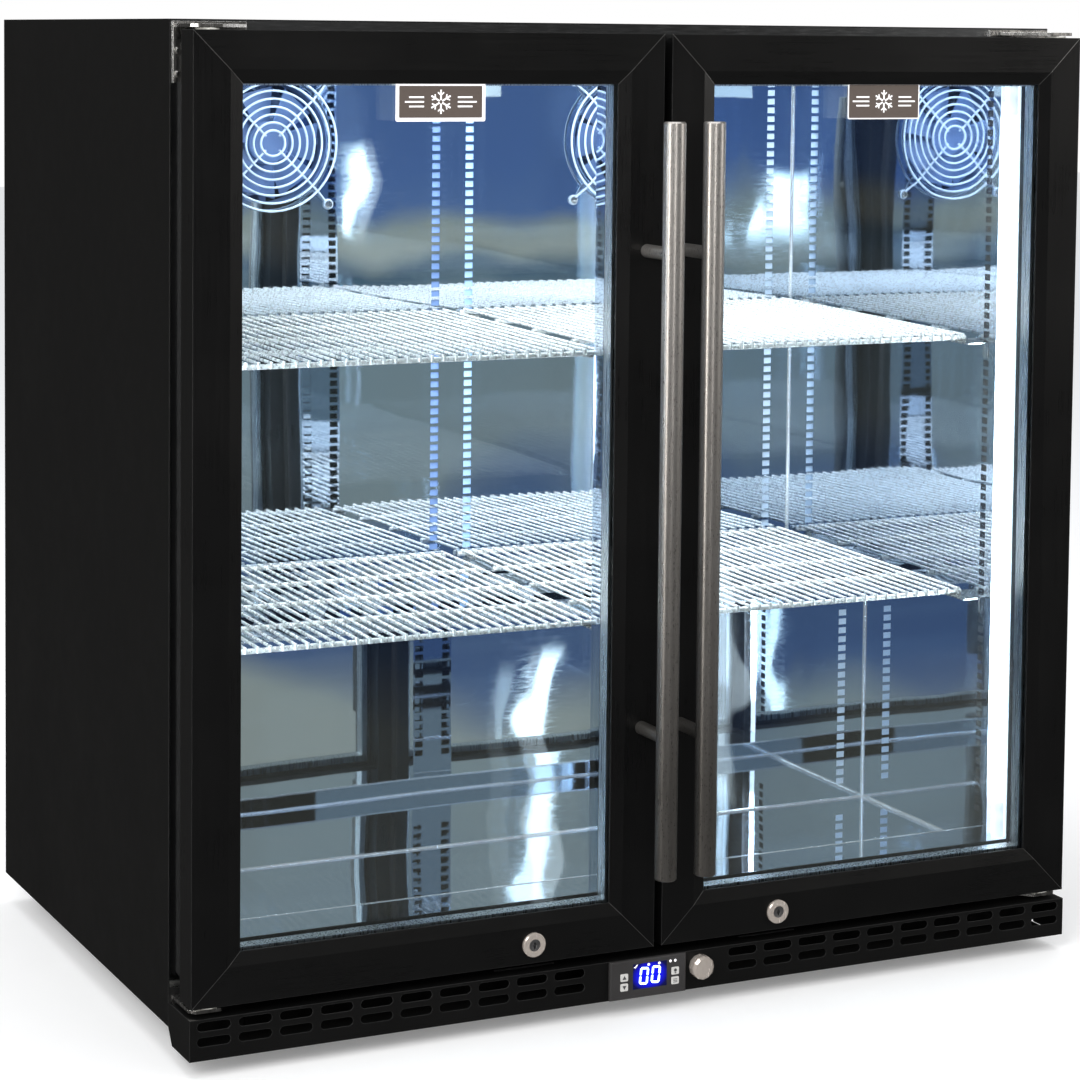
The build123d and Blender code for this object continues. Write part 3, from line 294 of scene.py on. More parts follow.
def fan_moulding():
    """Pale blue-grey fan plastic, faintly glowing with the light that reaches it."""
    look = Look("pale_fan_moulding")
    skin = look.noise(700.0, 2.0)
    patch = look.noise(14.0, 2.0)
    # The dark blue tone is partly painted shade, darkened so that the fans look as dim as the walls round
    # them; the glow is painted light.
    tone = look.blend(patch, (0.050, 0.095, 0.22), (0.078, 0.135, 0.29))
    look.set(
        Base_Color=tone,
        Roughness=look.spread(patch, 0.3, 0.7, 0.4, 0.55),
        Emission_Color=tone,
        Emission_Strength=0.08,
        Normal=look.bump(skin, 0.00004, 0.4, look.rounded(0.0004)),
    )
    return look.material


def fin_aluminium():
    """Thin mill-finish fins with faint rolling streaks and dust at the edges."""
    look = Look("mill_aluminium_fins")
    streaks = look.noise(90.0, 3.0, stretch=(1.0, 1.0, 0.05))
    look.set(
        Base_Color=look.blend(streaks, (0.52, 0.53, 0.54), (0.76, 0.77, 0.78)),
        Metallic=1.0,
        Roughness=look.spread(streaks, 0.3, 0.7, 0.3, 0.5),
    )
    return look.material


def satin_aluminium():
    """Satin-anodised extrusion with fine lines along its length."""
    look = Look("satin_aluminium")
    lines = look.noise(700.0, 2.0, stretch=(1.0, 1.0, 0.02))
    look.set(
        Base_Color=look.blend(lines, (0.62, 0.65, 0.68), (0.78, 0.81, 0.84)),
        Metallic=1.0,
        Roughness=look.spread(lines, 0.3, 0.7, 0.22, 0.36),
    )
    return look.material


def lit_channel():
    """The aluminium channel round the light cover, flooded with its light."""
    look = Look("lit_channel")
    lines = look.noise(700.0, 2.0, stretch=(1.0, 1.0, 0.02))
    look.set(
        Base_Color=look.blend(lines, (0.62, 0.65, 0.68), (0.78, 0.81, 0.84)),
        Metallic=0.5,
        Roughness=look.spread(lines, 0.3, 0.7, 0.22, 0.36),
        Emission_Color=(0.80, 0.90, 1.0),
        Emission_Strength=1.3,
    )
    return look.material


def light_cover():
    """Milky light-strip cover: glows cool white over its diodes and fades at both ends."""
    look = Look("lit_milky_cover")
    low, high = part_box("light_covers")
    height = look.split()[2]
    ripple = look.math("SINE", look.math("MULTIPLY", height, 2 * math.pi / DIODE_PITCH))
    glow = look.spread(ripple, -1.0, 1.0, LIGHT_STRENGTH * 0.85, LIGHT_STRENGTH)
    from_middle = look.math("ABSOLUTE", look.math("SUBTRACT", height, (low.z + high.z) / 2))
    to_end = look.math("SUBTRACT", (high.z - low.z) / 2, from_middle)
    lit = look.spread(to_end, DARK_END, DARK_END + END_FADE, LIGHT_END_SHARE, 1.0)
    look.set(
        Base_Color=(0.9, 0.94, 1.0),
        Roughness=0.4,
        Emission_Color=(0.84, 0.92, 1.0),
        Emission_Strength=look.math("MULTIPLY", glow, lit),
    )
    return look.material


def rubber(name="soft_rubber"):
    """Soft black rubber: matt, with a faint bloom and mould texture."""
    look = Look(name)
    bloom = look.noise(30.0, 4.0)
    skin = look.noise(1200.0, 1.0)
    look.set(
        Base_Color=look.blend(bloom, (0.010, 0.010, 0.010), (0.024, 0.023, 0.022)),
        Roughness=look.spread(bloom, 0.3, 0.7, 0.6, 0.8),
        Specular_IOR_Level=0.3,
        Normal=look.bump(skin, 0.00005, 0.4, look.rounded(0.0008)),
    )
    return look.material


def gloss_paint():
    """Compressor shell: thick gloss black paint with slight runs."""
    look = Look("gloss_black_paint")
    runs = look.noise(26.0, 2.0, stretch=(1.0, 1.0, 0.3))
    look.set(
        Base_Color=(0.008, 0.008, 0.009),
        Roughness=look.spread(runs, 0.3, 0.7, 0.16, 0.3),
        Coat_Weight=0.4,
        Coat_Roughness=0.1,
        Normal=look.bump(runs, 0.0004, 0.3),
    )
    return look.material


def copper():
    """Drawn copper tube with brown tarnish in patches."""
    look = Look("copper_tube")
    tarnish = look.noise(40.0, 5.0)
    browned = look.spread(tarnish, 0.4, 0.65, 0.0, 0.8)
    look.set(
        Base_Color=look.blend(browned, (0.83, 0.46, 0.30), (0.38, 0.18, 0.11)),
        Metallic=1.0,
        Roughness=look.spread(tarnish, 0.3, 0.7, 0.2, 0.42),
    )
    return look.material


def display_glass():
    """Smoked window with a blue glow round the lit digits."""
    look = Look("smoked_blue_window")
    low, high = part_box("display_digits")
    centre = (low + high) / 2
    half = (high - low) / 2
    offset = look.add("ShaderNodeVectorMath", {0: look.place, 1: tuple(centre)}, operation="SUBTRACT")
    shape = (1.0 / (half.x * 1.5), 0.0, 1.0 / (half.z * 1.5))
    scaled = look.add("ShaderNodeVectorMath", {0: offset.outputs[0], 1: shape}, operation="MULTIPLY")
    reach = look.add("ShaderNodeVectorMath", {0: scaled.outputs[0]}, operation="LENGTH").outputs["Value"]
    speckle = look.noise(2500.0, 1.0)
    look.set(
        Base_Color=(0.006, 0.007, 0.03),
        Roughness=look.spread(speckle, 0.3, 0.7, 0.1, 0.2),
        Emission_Color=(0.005, 0.005, 1.0),
        Emission_Strength=look.spread(reach, 0.6, 1.15, 1.0, 0.035),
    )
    return look.material


def lit_digits():
    """Lit segments: white-blue, slightly stronger at the middle of each bar."""
    look = Look("lit_segments")
    shimmer = look.noise(600.0, 1.0)
    look.set(
        Base_Color=(0.6, 0.8, 1.0),
        Roughness=0.4,
        Emission_Color=(0.62, 0.86, 1.0),
        Emission_Strength=look.spread(shimmer, 0.3, 0.7, 2.2, 3.0),
    )
    return look.material


def chrome():
    """Nickel plating with a warm tone: hair scratches and a soft haze."""
    look = Look("warm_nickel_plating")
    scratches = look.noise(500.0, 4.0, stretch=(1.0, 1.0, 0.15))
    look.set(
        Base_Color=look.blend(scratches, (0.56, 0.49, 0.43), (0.72, 0.65, 0.59)),
        Metallic=0.55,
        Roughness=look.spread(scratches, 0.35, 0.75, 0.16, 0.32),
        Normal=look.rounded(0.0003),
    )
    return look.material


def foot_steel():
    """Dull zinc-plated steel with water marks."""
    look = Look("dull_zinc_steel")
    marks = look.noise(60.0, 4.0)
    look.set(
        Base_Color=look.blend(marks, (0.30, 0.30, 0.31), (0.50, 0.50, 0.51)),
        Metallic=1.0,
        Roughness=look.spread(marks, 0.3, 0.7, 0.35, 0.55),
        Normal=look.rounded(0.0005),
    )
    return look.material


def black_anodised(middle_x):
    """Black-anodised frame bars: fine lines along each bar, turning at the mitres."""
    look = Look("black_anodised")
    x, _, z = look.split()[0:3]
    low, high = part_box("door_frame_right")
    half_x = (high.x - low.x) / 2
    half_z = (high.z - low.z) / 2
    across = look.math("ABSOLUTE", look.math("SUBTRACT", look.math("ABSOLUTE", x), middle_x))
    to_side = look.math("SUBTRACT", half_x, across)
    along = look.math("ABSOLUTE", look.math("SUBTRACT", z, (low.z + high.z) / 2))
    to_end = look.math("SUBTRACT", half_z, along)
    upright = look.math("LESS_THAN", to_side, to_end)
    along_z = look.noise(900.0, 2.0, stretch=(1.0, 1.0, 0.015))
    along_x = look.noise(900.0, 2.0, stretch=(0.015, 1.0, 1.0))
    lines = look.blend(upright, along_x, along_z)
    smears = look.noise(9.0, 4.0, roughness=0.6)
    painted_edge_highlight = look.edges(0.0007)
    base = look.blend(upright, (0.0042, 0.0042, 0.0042), (0.0034, 0.0034, 0.0035))
    line_rough = look.spread(lines, 0.3, 0.7, 0.0, 0.08)
    rough = look.math("ADD", line_rough, look.spread(smears, 0.3, 0.7, 0.22, 0.36))
    look.set(
        # Paler on hard edges: a painted highlight along the frame's edges.
        Base_Color=look.blend(look.math("MULTIPLY", painted_edge_highlight, 0.7), base, (0.07, 0.07, 0.07)),
        Roughness=rough,
        Specular_IOR_Level=0.3,
        Normal=look.bump(lines, 0.00002, 0.35, look.rounded(0.0006)),
    )
    return look.material


def clear_glass():
    """Thin clear pane: passes light straight through, mirrors a little at an angle."""
    look = Look("clear_pane", "ShaderNodeMixShader")
    smears = look.noise(11.0, 5.0, roughness=0.6)
    facing = look.add("ShaderNodeFresnel", {"IOR": 1.45}).outputs[0]
    share = look.math("MULTIPLY", facing, 0.75)
    through = look.add("ShaderNodeBsdfTransparent", {"Color": (0.965, 0.985, 0.985)})
    rough = look.spread(smears, 0.45, 0.8, 0.0, 0.06)
    mirror = look.add("ShaderNodeBsdfGlossy", {"Color": (0.9, 0.95, 1.0), "Roughness": rough})
    look.put(look.surface, 0, share)
    look.put(look.surface, 1, through.outputs[0])
    look.put(look.surface, 2, mirror.outputs[0])
    return look.material


def handle_steel():
    """Brushed steel bar, dark grey-brown: long streaks give stripes of light along it, and it is painted
    darker towards its foot as painted shade.
    """
    look = Look("dark_brushed_steel")
    streaks = look.noise(1500.0, 3.0, stretch=(1.0, 1.0, 0.03))
    specks = look.noise(900.0, 2.0, stretch=(1.0, 1.0, 0.35))
    cloud = look.noise(16.0, 3.0)
    grain = look.blend(0.4, streaks, specks)
    tone = look.blend(look.spread(grain, 0.35, 0.65, 0.0, 1.0), (0.47, 0.445, 0.42), (0.62, 0.595, 0.57))
    low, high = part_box("door_handle_left")
    # Painted shade: the colour darkens towards the foot, as if the bar mirrored a room brighter above.
    painted_shade_low = look.spread(look.split()[2], low.z + HANDLE_END, high.z - HANDLE_END, 0.82, 0.0)
    tone = look.blend(look.spread(cloud, 0.3, 0.7, 0.0, 0.3), tone, (0.42, 0.39, 0.36))
    look.set(
        Base_Color=look.blend(painted_shade_low, tone, (0.07, 0.065, 0.058)),
        Metallic=0.85,
        Roughness=look.spread(grain, 0.3, 0.7, 0.25, 0.36),
        Normal=look.bump(grain, 0.00002, 0.4, look.rounded(0.0004)),
    )
    return look.material


DOOR_MIDDLE_X = sum(corner.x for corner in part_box("door_frame_right")) / 2
SLOT_LOOKS = {
    "black_steel": powder_coat,
    "galvanised_steel": galvanised,
    "foam": foam,
    "polished_steel": polished_steel,
    "bright_wire": bright_wire,
    "bright_screws": bright_stainless,
    "black_plastic": lambda: moulded_plastic("black_moulding", (0.012, 0.012, 0.012), (0.022, 0.022, 0.022)),
    "grey_plastic": lambda: moulded_plastic("grey_moulding", (0.10, 0.10, 0.11), (0.17, 0.17, 0.18), 0.38),
    "fin_aluminium": fin_aluminium,
    "satin_aluminium": satin_aluminium,
    "milky_plastic": light_cover,
    "compressor_black": gloss_paint,
    "soft_rubber": rubber,
    "copper": copper,
    "panel_plastic": lambda: moulded_plastic(
        "panel_moulding", (0.030, 0.028, 0.028), (0.048, 0.046, 0.046), 0.36, 1600.0
    ),
    "display_glass": display_glass,
    "lit_digits": lit_digits,
    "button_plastic": lambda: moulded_plastic("key_moulding", (0.50, 0.49, 0.47), (0.60, 0.59, 0.57), 0.5),
    "chrome": chrome,
    "foot_steel": foot_steel,
    "black_aluminium": lambda: black_anodised(DOOR_MIDDLE_X),
    "clear_glass": clear_glass,
    "gasket_rubber": lambda: rubber("gasket_rubber"),
    "handle_steel": handle_steel,
    "nylon": lambda: moulded_plastic("nylon", (0.70, 0.69, 0.63), (0.80, 0.79, 0.74), 0.4),
}
looks = {slot: make() for slot, make in SLOT_LOOKS.items()}
for row in record["subparts"]:
    node = frame["nodes"][row["node"]]
    node.data.materials.clear()
    node.data.materials.append(looks[row["material_slot"]])
fan_look = fan_moulding()
plug_look = foot_steel()
own_looks = {
    "front_frame": front_sheet(),
    "light_channels": lit_channel(),
    "fan_guards": guard_wire(),
    "fan_frames": fan_look,
    "fan_blades_left": fan_look,
    "fan_blades_right": fan_look,
    "lock_plug_left": plug_look,
    "lock_plug_right": plug_look,
}
for name, look in own_looks.items():
    frame["nodes"][name].data.materials[0] = look


# --------------------------------------------------------------- dressing pieces


def plate(mesh, outline, y_back, thick):
    """A flat plate: outline of (x, z) points, back face at y_back, front towards -Y."""
    back = [mesh.verts.new((x, y_back, z)) for x, z in outline]
    front = [mesh.verts.new((x, y_back - thick, z)) for x, z in outline]
    count = len(outline)
    mesh.faces.new(front)
    mesh.faces.new(list(reversed(back)))
    for i in range(count):
        j = (i + 1) % count
        mesh.faces.new((back[i], back[j], front[j], front[i]))


def rounded_rectangle(centre_x, centre_z, wide, high, radius, steps=5):
    points = []
    corners = ((1, 1, 0), (-1, 1, 90), (-1, -1, 180), (1, -1, 270))
    for side_x, side_z, start in corners:
        middle_x = centre_x + side_x * (wide / 2 - radius)
        middle_z = centre_z + side_z * (high / 2 - radius)
        for step in range(steps + 1):
            angle = math.radians(start + 90 * step / steps)
            points.append((middle_x + radius * math.cos(angle), middle_z + radius * math.sin(angle)))
    return points


def bar_outline(start, end, wide):
    """The four corners of a straight bar between two (x, z) points."""
    along = Vector((end[0] - start[0], end[1] - start[1])).normalized()
    across = Vector((-along.y, along.x)) * wide / 2
    return [
        (start[0] + across.x, start[1] + across.y),
        (start[0] - across.x, start[1] - across.y),
        (end[0] - across.x, end[1] - across.y),
        (end[0] + across.x, end[1] + across.y),
    ]


def piece_from(mesh, name, look, body):
    bmesh.ops.recalc_face_normals(mesh, faces=mesh.faces)
    data = bpy.data.meshes.new(name)
    mesh.to_mesh(data)
    mesh.free()
    data.materials.append(look)
    piece = bpy.data.objects.new(name, data)
    scene.collection.objects.link(piece)
    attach(piece, body)
    return piece


def slab(mesh, low, high):
    """An upright box between two corners."""
    made = bmesh.ops.create_cube(mesh, size=1.0)["verts"]
    for vert in made:
        vert.co = Vector(((a + b) / 2 + v * (b - a)) for a, b, v in zip(low, high, vert.co))


def bend(mesh, start, end, first, second, radius, steps=6):
    """A rounded inner corner from start to end, between walls that run off along two directions."""
    start, end, first, second = Vector(start), Vector(end), Vector(first), Vector(second)
    sunk = -(first + second) * 0.2 * MM
    section = [sunk]
    for step in range(steps + 1):
        turn = math.radians(90 * step / steps)
        section.append(sunk + radius * ((first + second) - first * math.cos(turn) - second * math.sin(turn)))
    rings = [[mesh.verts.new(place + point) for point in section] for place in (start, end)]
    for i in range(len(section)):
        j = (i + 1) % len(section)
        mesh.faces.new((rings[0][i], rings[0][j], rings[1][j], rings[1][i]))
    mesh.faces.new(rings[0][::-1])
    mesh.faces.new(rings[1])


def key_face(key):
    """The middle of a controller key, as x and z, and the y of its front."""
    low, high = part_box(key)
    return (low.x + high.x) / 2, (low.z + high.z) / 2, low.y


def plain_look(name, color, rough, metallic=0.0, glow=0.0, grain=800.0):
    """A print or thin metal: fine grain in colour, roughness and relief, and a glow that is painted light."""
    look = Look(name)
    speckle = look.noise(grain, 2.0)
    look.set(
        Base_Color=look.blend(speckle, tuple(c * 0.88 for c in color), color),
        Metallic=metallic,
        Roughness=look.spread(speckle, 0.3, 0.7, rough - 0.05, rough + 0.05),
        Emission_Color=color,
        Emission_Strength=glow,
        Normal=look.bump(speckle, 0.00002, 0.3),
    )
    return look.material


bare_metal = plain_look("bare_mitre_edge", (0.42, 0.42, 0.42), 0.35, 1.0)
# The badge ground and the white print glow a little: painted light.
badge_dark = plain_look("badge_ground", (0.085, 0.066, 0.056), 0.45, 0.0, 0.35)
print_white = plain_look("white_print", (0.86, 0.85, 0.86), 0.5, 0.0, 0.5)
icon_dark = plain_look("dark_print", (0.05, 0.05, 0.05), 0.55)

# Hairline joints on the mitres of each door frame, down the face and the bevel.
FACE_FLAT, FACE_ALL, BEVEL_DEPTH = 33 * MM, 45 * MM, 3 * MM
HAIRLINE, PROUD = 0.45 * MM, 0.06 * MM
for side_name in ("left", "right"):
    low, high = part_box(f"door_frame_{side_name}")
    mesh = bmesh.new()
    for corner_x, way_x in ((low.x, 1), (high.x, -1)):
        for corner_z, way_z in ((low.z, 1), (high.z, -1)):
            path = [
                Vector((corner_x, low.y, corner_z)),
                Vector((corner_x + way_x * FACE_FLAT, low.y, corner_z + way_z * FACE_FLAT)),
                Vector((corner_x + way_x * FACE_ALL, low.y + BEVEL_DEPTH, corner_z + way_z * FACE_ALL)),
            ]
            across = Vector((way_x, 0, -way_z)).normalized() * HAIRLINE / 2
            lift = Vector((0, -PROUD, 0))
            rings = []
            for point in path:
                corners = (across, across + lift, lift - across, -across)
                rings.append([mesh.verts.new(point + shift) for shift in corners])
            for first, second in zip(rings, rings[1:]):
                for i in range(4):
                    j = (i + 1) % 4
                    mesh.faces.new((first[i], first[j], second[j], second[i]))
            mesh.faces.new(rings[0])
            mesh.faces.new(list(reversed(rings[-1])))
    piece_from(mesh, f"mitre_lines_{side_name}", bare_metal, f"door_{side_name}")

# A plain badge with a snowflake at the top of each pane: middle, width, height and rim.
BADGE_SIZES = {
    "left": (-220.9 * MM, 85 * MM, 34 * MM, 3.2 * MM),
    "right": (230.6 * MM, 78 * MM, 33 * MM, 1.1 * MM),
}
BADGE_Z = 830.5 * MM
BADGE_THICK = 0.3 * MM
SNOW_ARM = 10.5 * MM
for side_name, (badge_x, wide, tall, rim) in BADGE_SIZES.items():
    pane_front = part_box(f"door_glass_{side_name}")[0].y
    body = f"door_{side_name}"
    mesh = bmesh.new()
    plate(mesh, rounded_rectangle(badge_x, BADGE_Z, wide, tall, 1.5 * MM), pane_front, BADGE_THICK)
    piece_from(mesh, f"badge_rim_{side_name}", print_white, body)
    mesh = bmesh.new()
    ground = rounded_rectangle(badge_x, BADGE_Z, wide - 2 * rim, tall - 2 * rim, 0.8 * MM)
    plate(mesh, ground, pane_front - BADGE_THICK, BADGE_THICK / 2)
    piece_from(mesh, f"badge_ground_{side_name}", badge_dark, body)
    mesh = bmesh.new()
    face = pane_front - 1.5 * BADGE_THICK
    for turn in range(6):
        angle = math.radians(60 * turn + 30)
        ray = Vector((math.cos(angle), math.sin(angle)))
        centre = Vector((badge_x, BADGE_Z))
        tip = centre + ray * SNOW_ARM
        plate(mesh, bar_outline(centre + ray * 1.5 * MM, tip, 1.5 * MM), face, BADGE_THICK / 3)
        for branch in (-1, 1):
            out = math.radians(60 * turn + 30 + branch * 50)
            root = centre + ray * SNOW_ARM * 0.55
            end = root + Vector((math.cos(out), math.sin(out))) * SNOW_ARM * 0.36
            plate(mesh, bar_outline(root, end, 1.1 * MM), face, BADGE_THICK / 3)
    for side_x in (-1, 1):
        for row, length in ((-4.0, 14.0), (0.0, 18.0), (4.0, 14.0)):
            start = badge_x + side_x * 16 * MM
            line_z = BADGE_Z + row * MM
            line = bar_outline((start, line_z), (start + side_x * length * MM, line_z), 1.4 * MM)
            plate(mesh, line, face, BADGE_THICK / 3)
    piece_from(mesh, f"badge_mark_{side_name}", print_white, body)

# Glowing pale strips seen through the middle rows of clip slots in the back wall: painted light, the left one
# dimmer than the right.
cover_low, cover_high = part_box("evaporator_cover")
STRIP_RADIUS = 2 * MM
strip_back = cover_high.y + 1.0 * MM
MIDDLE_GLOW_STRIPS = (("left", -19 * MM, (0.10, 0.165, 0.34)), ("right", 19 * MM, (0.24, 0.37, 0.58)))
for side_name, strip_x, tone in MIDDLE_GLOW_STRIPS:
    mesh = bmesh.new()
    middle_z = (cover_low.z + cover_high.z) / 2
    strip = rounded_rectangle(strip_x, middle_z, 13 * MM, cover_high.z - cover_low.z - 20 * MM, STRIP_RADIUS)
    plate(mesh, strip, strip_back, 0.5 * MM)
    # A glowing look: painted light seen through the slots.
    look = plain_look(f"slot_strip_{side_name}_tone", tone, 0.5, 0.0, 0.9, 40.0)
    piece_from(mesh, f"slot_strip_{side_name}", look, "cabinet")

# Glowing pale strips in the outer slot rows, of the back wall and of the step below it: painted light seen
# through the slots.
STEP_FRONT_Y = 49 * MM
REAR_SLOT_X = 382 * MM
STEP_SLOTS_Z = (98 * MM, 292 * MM)
upper_rows = (cover_low.z + 10 * MM, cover_high.z - 10 * MM)
rear_strip_glow = plain_look("rear_strip_painted_glow", (0.36, 0.45, 0.58), 0.5, 0.0, 0.5, 40.0)
outer_rows = ((upper_rows, strip_back), (STEP_SLOTS_Z, STEP_FRONT_Y + 0.6 * MM))
for side_name, way in (("left", -1), ("right", 1)):
    mesh = bmesh.new()
    for (low_z, high_z), row_back in outer_rows:
        middle_z = (low_z + high_z) / 2
        outline = rounded_rectangle(way * REAR_SLOT_X, middle_z, 11 * MM, high_z - low_z, STRIP_RADIUS)
        plate(mesh, outline, row_back, 0.3 * MM)
    piece_from(mesh, f"rear_slot_strip_{side_name}", rear_strip_glow, "cabinet")

# A dark tray under and behind the plinth: painted shade, a black sheet put where the plinth lies in shade, so
# that its slots look into shade.
plinth_shade_look = plain_look("painted_plinth_shade", (0.006, 0.006, 0.006), 0.95, 0.0, 0.0, 500.0)
plinth_low, plinth_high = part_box("kick_grille")
inset = plinth_high.x - 4 * MM
mesh = bmesh.new()
tray_back = plinth_high.y + 1.4 * MM
tray_top = plinth_low.z + 1.0 * MM
slab(mesh, (-inset, plinth_low.y + 1.8 * MM, plinth_low.z + 0.4 * MM), (inset, tray_back, tray_top))
slab(mesh, (-inset, plinth_high.y + 0.6 * MM, tray_top), (inset, tray_back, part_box("base_pan")[0].z))
piece_from(mesh, "plinth_shade_tray", plinth_shade_look, "cabinet")

# Rounded inner corners of the bent liner sheet, which catch the light as bright lines, helped by a faint glow
# that is a painted highlight.
BEND_R = 3.5 * MM
SILL_BACK_Y = -148 * MM
SILL_TOP_Z = 99 * MM
wall_x = cover_high.x
floor_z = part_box("inner_liner")[0].z + 0.8 * MM
step_top = cover_low.z
back_y = cover_low.y
bend_highlight_look = plain_look("bent_sheet_edge", (0.78, 0.83, 0.90), 0.16, 0.85, 0.10, 60.0)
mesh = bmesh.new()
bend(mesh, (-wall_x, STEP_FRONT_Y, floor_z), (wall_x, STEP_FRONT_Y, floor_z), (0, -1, 0), (0, 0, 1), BEND_R)
bend(mesh, (-wall_x, SILL_BACK_Y, floor_z), (wall_x, SILL_BACK_Y, floor_z), (0, 1, 0), (0, 0, 1), BEND_R)
# Flat strips along the sill's back edge and the step's top edge, in the same look: painted highlights.
EDGE_PROUD = 0.3 * MM
sill_corner = (wall_x, SILL_BACK_Y + EDGE_PROUD, SILL_TOP_Z + EDGE_PROUD)
slab(mesh, (-wall_x, SILL_BACK_Y - 2 * MM, SILL_TOP_Z - 1.2 * MM), sill_corner)
step_corner = (wall_x, STEP_FRONT_Y + 1.2 * MM, step_top + 0.2 * MM)
slab(mesh, (-wall_x, STEP_FRONT_Y - EDGE_PROUD, step_top - 1.5 * MM), step_corner)
for way in (-1, 1):
    inward = (-way, 0, 0)
    x = way * wall_x
    bend(mesh, (x, SILL_BACK_Y, floor_z), (x, STEP_FRONT_Y, floor_z), inward, (0, 0, 1), BEND_R)
    bend(mesh, (x, STEP_FRONT_Y, floor_z), (x, STEP_FRONT_Y, step_top), inward, (0, -1, 0), BEND_R)
    bend(mesh, (x, back_y, step_top), (x, back_y, cover_high.z), inward, (0, -1, 0), BEND_R)
bmesh.ops.recalc_face_normals(mesh, faces=mesh.faces)
piece_from(mesh, "liner_bends", bend_highlight_look, "cabinet")

# Marks on the controller keys and status lamps above its window.
KEY_PRINT = 0.08 * MM
for key, way in (("button_up", 1), ("button_down", -1)):
    middle_x, middle_z, front = key_face(key)
    reach = 2.0 * MM
    mesh = bmesh.new()
    outline = [
        (middle_x - reach, middle_z - way * reach * 0.8),
        (middle_x + reach, middle_z - way * reach * 0.8),
        (middle_x, middle_z + way * reach),
    ]
    plate(mesh, outline, front, KEY_PRINT)
    piece_from(mesh, f"{key}_mark", icon_dark, key)
middle_x, middle_z, front = key_face("button_lamp")
mesh = bmesh.new()
plate(mesh, rounded_rectangle(middle_x, middle_z + 0.6 * MM, 3 * MM, 3 * MM, 1.4 * MM), front, KEY_PRINT)
plate(mesh, rounded_rectangle(middle_x, middle_z - 1.9 * MM, 1.8 * MM, 1.0 * MM, 0.3 * MM), front, KEY_PRINT)
piece_from(mesh, "button_lamp_mark", icon_dark, "button_lamp")
middle_x, middle_z, front = key_face("button_set")
mesh = bmesh.new()
for row in (-1.4, 0.0, 1.4):
    bar = rounded_rectangle(middle_x, middle_z + row * MM, 4.2 * MM, 0.6 * MM, 0.25 * MM)
    plate(mesh, bar, front, KEY_PRINT)
piece_from(mesh, "button_set_mark", icon_dark, "button_set")

case_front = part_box("controller_case")[0].y
mesh = bmesh.new()
for lamp_x in (-11.0, 0.0, 11.5, 16.5):
    lamp_z = 45.6 * MM if lamp_x > 10 else 45.2 * MM
    dot = rounded_rectangle(lamp_x * MM, lamp_z, 2.6 * MM, 2.6 * MM, 1.25 * MM)
    plate(mesh, dot, case_front, KEY_PRINT)
leaf = [(-26.5, 44.0), (-24.4, 43.2), (-21.8, 46.6), (-23.6, 46.2), (-24.6, 44.9)]
plate(mesh, [(x * MM, z * MM) for x, z in leaf], case_front, KEY_PRINT)
piece_from(mesh, "panel_marks", print_white, "cabinet")


# ------------------------------------------------------------- studio and camera


def build_floor():
    """A wide plain floor under the feet."""
    mesh = bmesh.new()
    bmesh.ops.create_grid(mesh, x_segments=2, y_segments=2, size=14.0)
    data = bpy.data.meshes.new("floor")
    mesh.to_mesh(data)
    mesh.free()
    look = Look("pale_floor")
    grain = look.noise(30.0, 3.0)
    tone = look.blend(grain, (0.86, 0.86, 0.86), (0.89, 0.89, 0.89))
    look.set(Base_Color=tone, Roughness=0.7, Emission_Color=tone, Emission_Strength=0.22)
    data.materials.append(look.material)
    floor = bpy.data.objects.new("floor", data)
    scene.collection.objects.link(floor)
    floor.visible_glossy = False


def add_area_light(name, place, aim, wide, high, power, color):
    light = bpy.data.lights.new(name, "AREA")
    light.shape = "RECTANGLE"
    light.size = wide
    light.size_y = high
    light.energy = power
    light.color = color
    lamp = bpy.data.objects.new(name, light)
    lamp.location = place
    lamp.rotation_euler = (Vector(aim) - Vector(place)).to_track_quat("-Z", "Y").to_euler()
    lamp.visible_camera = False
    scene.collection.objects.link(lamp)
    return lamp


# Studio lights: name, place, aim, width, height, power and colour.
STUDIO_LIGHTS = (
    ("key", (-2.6, -2.6, 2.6), (0, 0, 0.5), 1.6, 1.6, 60.0, (1.0, 1.0, 1.0)),
    ("side_strip", (-3.0, -0.9, 0.9), (0, -0.3, 0.5), 0.35, 2.2, 26.0, (1.0, 0.97, 0.92)),
    ("front_strip", (-0.9, -3.6, 1.3), (0, -0.3, 0.5), 0.25, 2.0, 14.0, (1.0, 0.97, 0.93)),
    ("fill", (3.0, -2.2, 1.6), (0, 0, 0.5), 1.2, 2.0, 22.0, (1.0, 0.95, 0.88)),
    ("top", (0.0, 0.2, 3.4), (0, 0, 0), 3.0, 3.0, 50.0, (1.0, 1.0, 1.0)),
)
# Soft lamps inside, under the ceiling and the upper shelves, for light bounced by the walls: height and power.
INSIDE_LAMPS = ((0.855, 8.0), (0.588, 4.4))
GLOW_X, GLOW_Y = 0.06, 0.03
# What the polished walls mirror, seen through the panes: (sine of the height angle, colour)
ROOM_BANDS = (
    (-0.60, (0.28, 0.265, 0.24)),
    (-0.30, (0.36, 0.34, 0.30)),
    (-0.225, (0.32, 0.31, 0.28)),
    (-0.205, (0.080, 0.115, 0.215)),
    (-0.160, (0.080, 0.115, 0.200)),
    (-0.140, (0.22, 0.235, 0.235)),
    (-0.085, (0.20, 0.235, 0.25)),
    (-0.070, (0.080, 0.130, 0.185)),
    (-0.062, (0.42, 0.40, 0.34)),
    (-0.050, (0.36, 0.365, 0.33)),
    (-0.044, (0.105, 0.170, 0.37)),
    (0.03, (0.085, 0.140, 0.31)),
    (0.07, (0.22, 0.22, 0.205)),
    (0.22, (0.30, 0.295, 0.27)),
    (0.60, (0.18, 0.20, 0.23)),
)
ROOM_REACH = 0.6
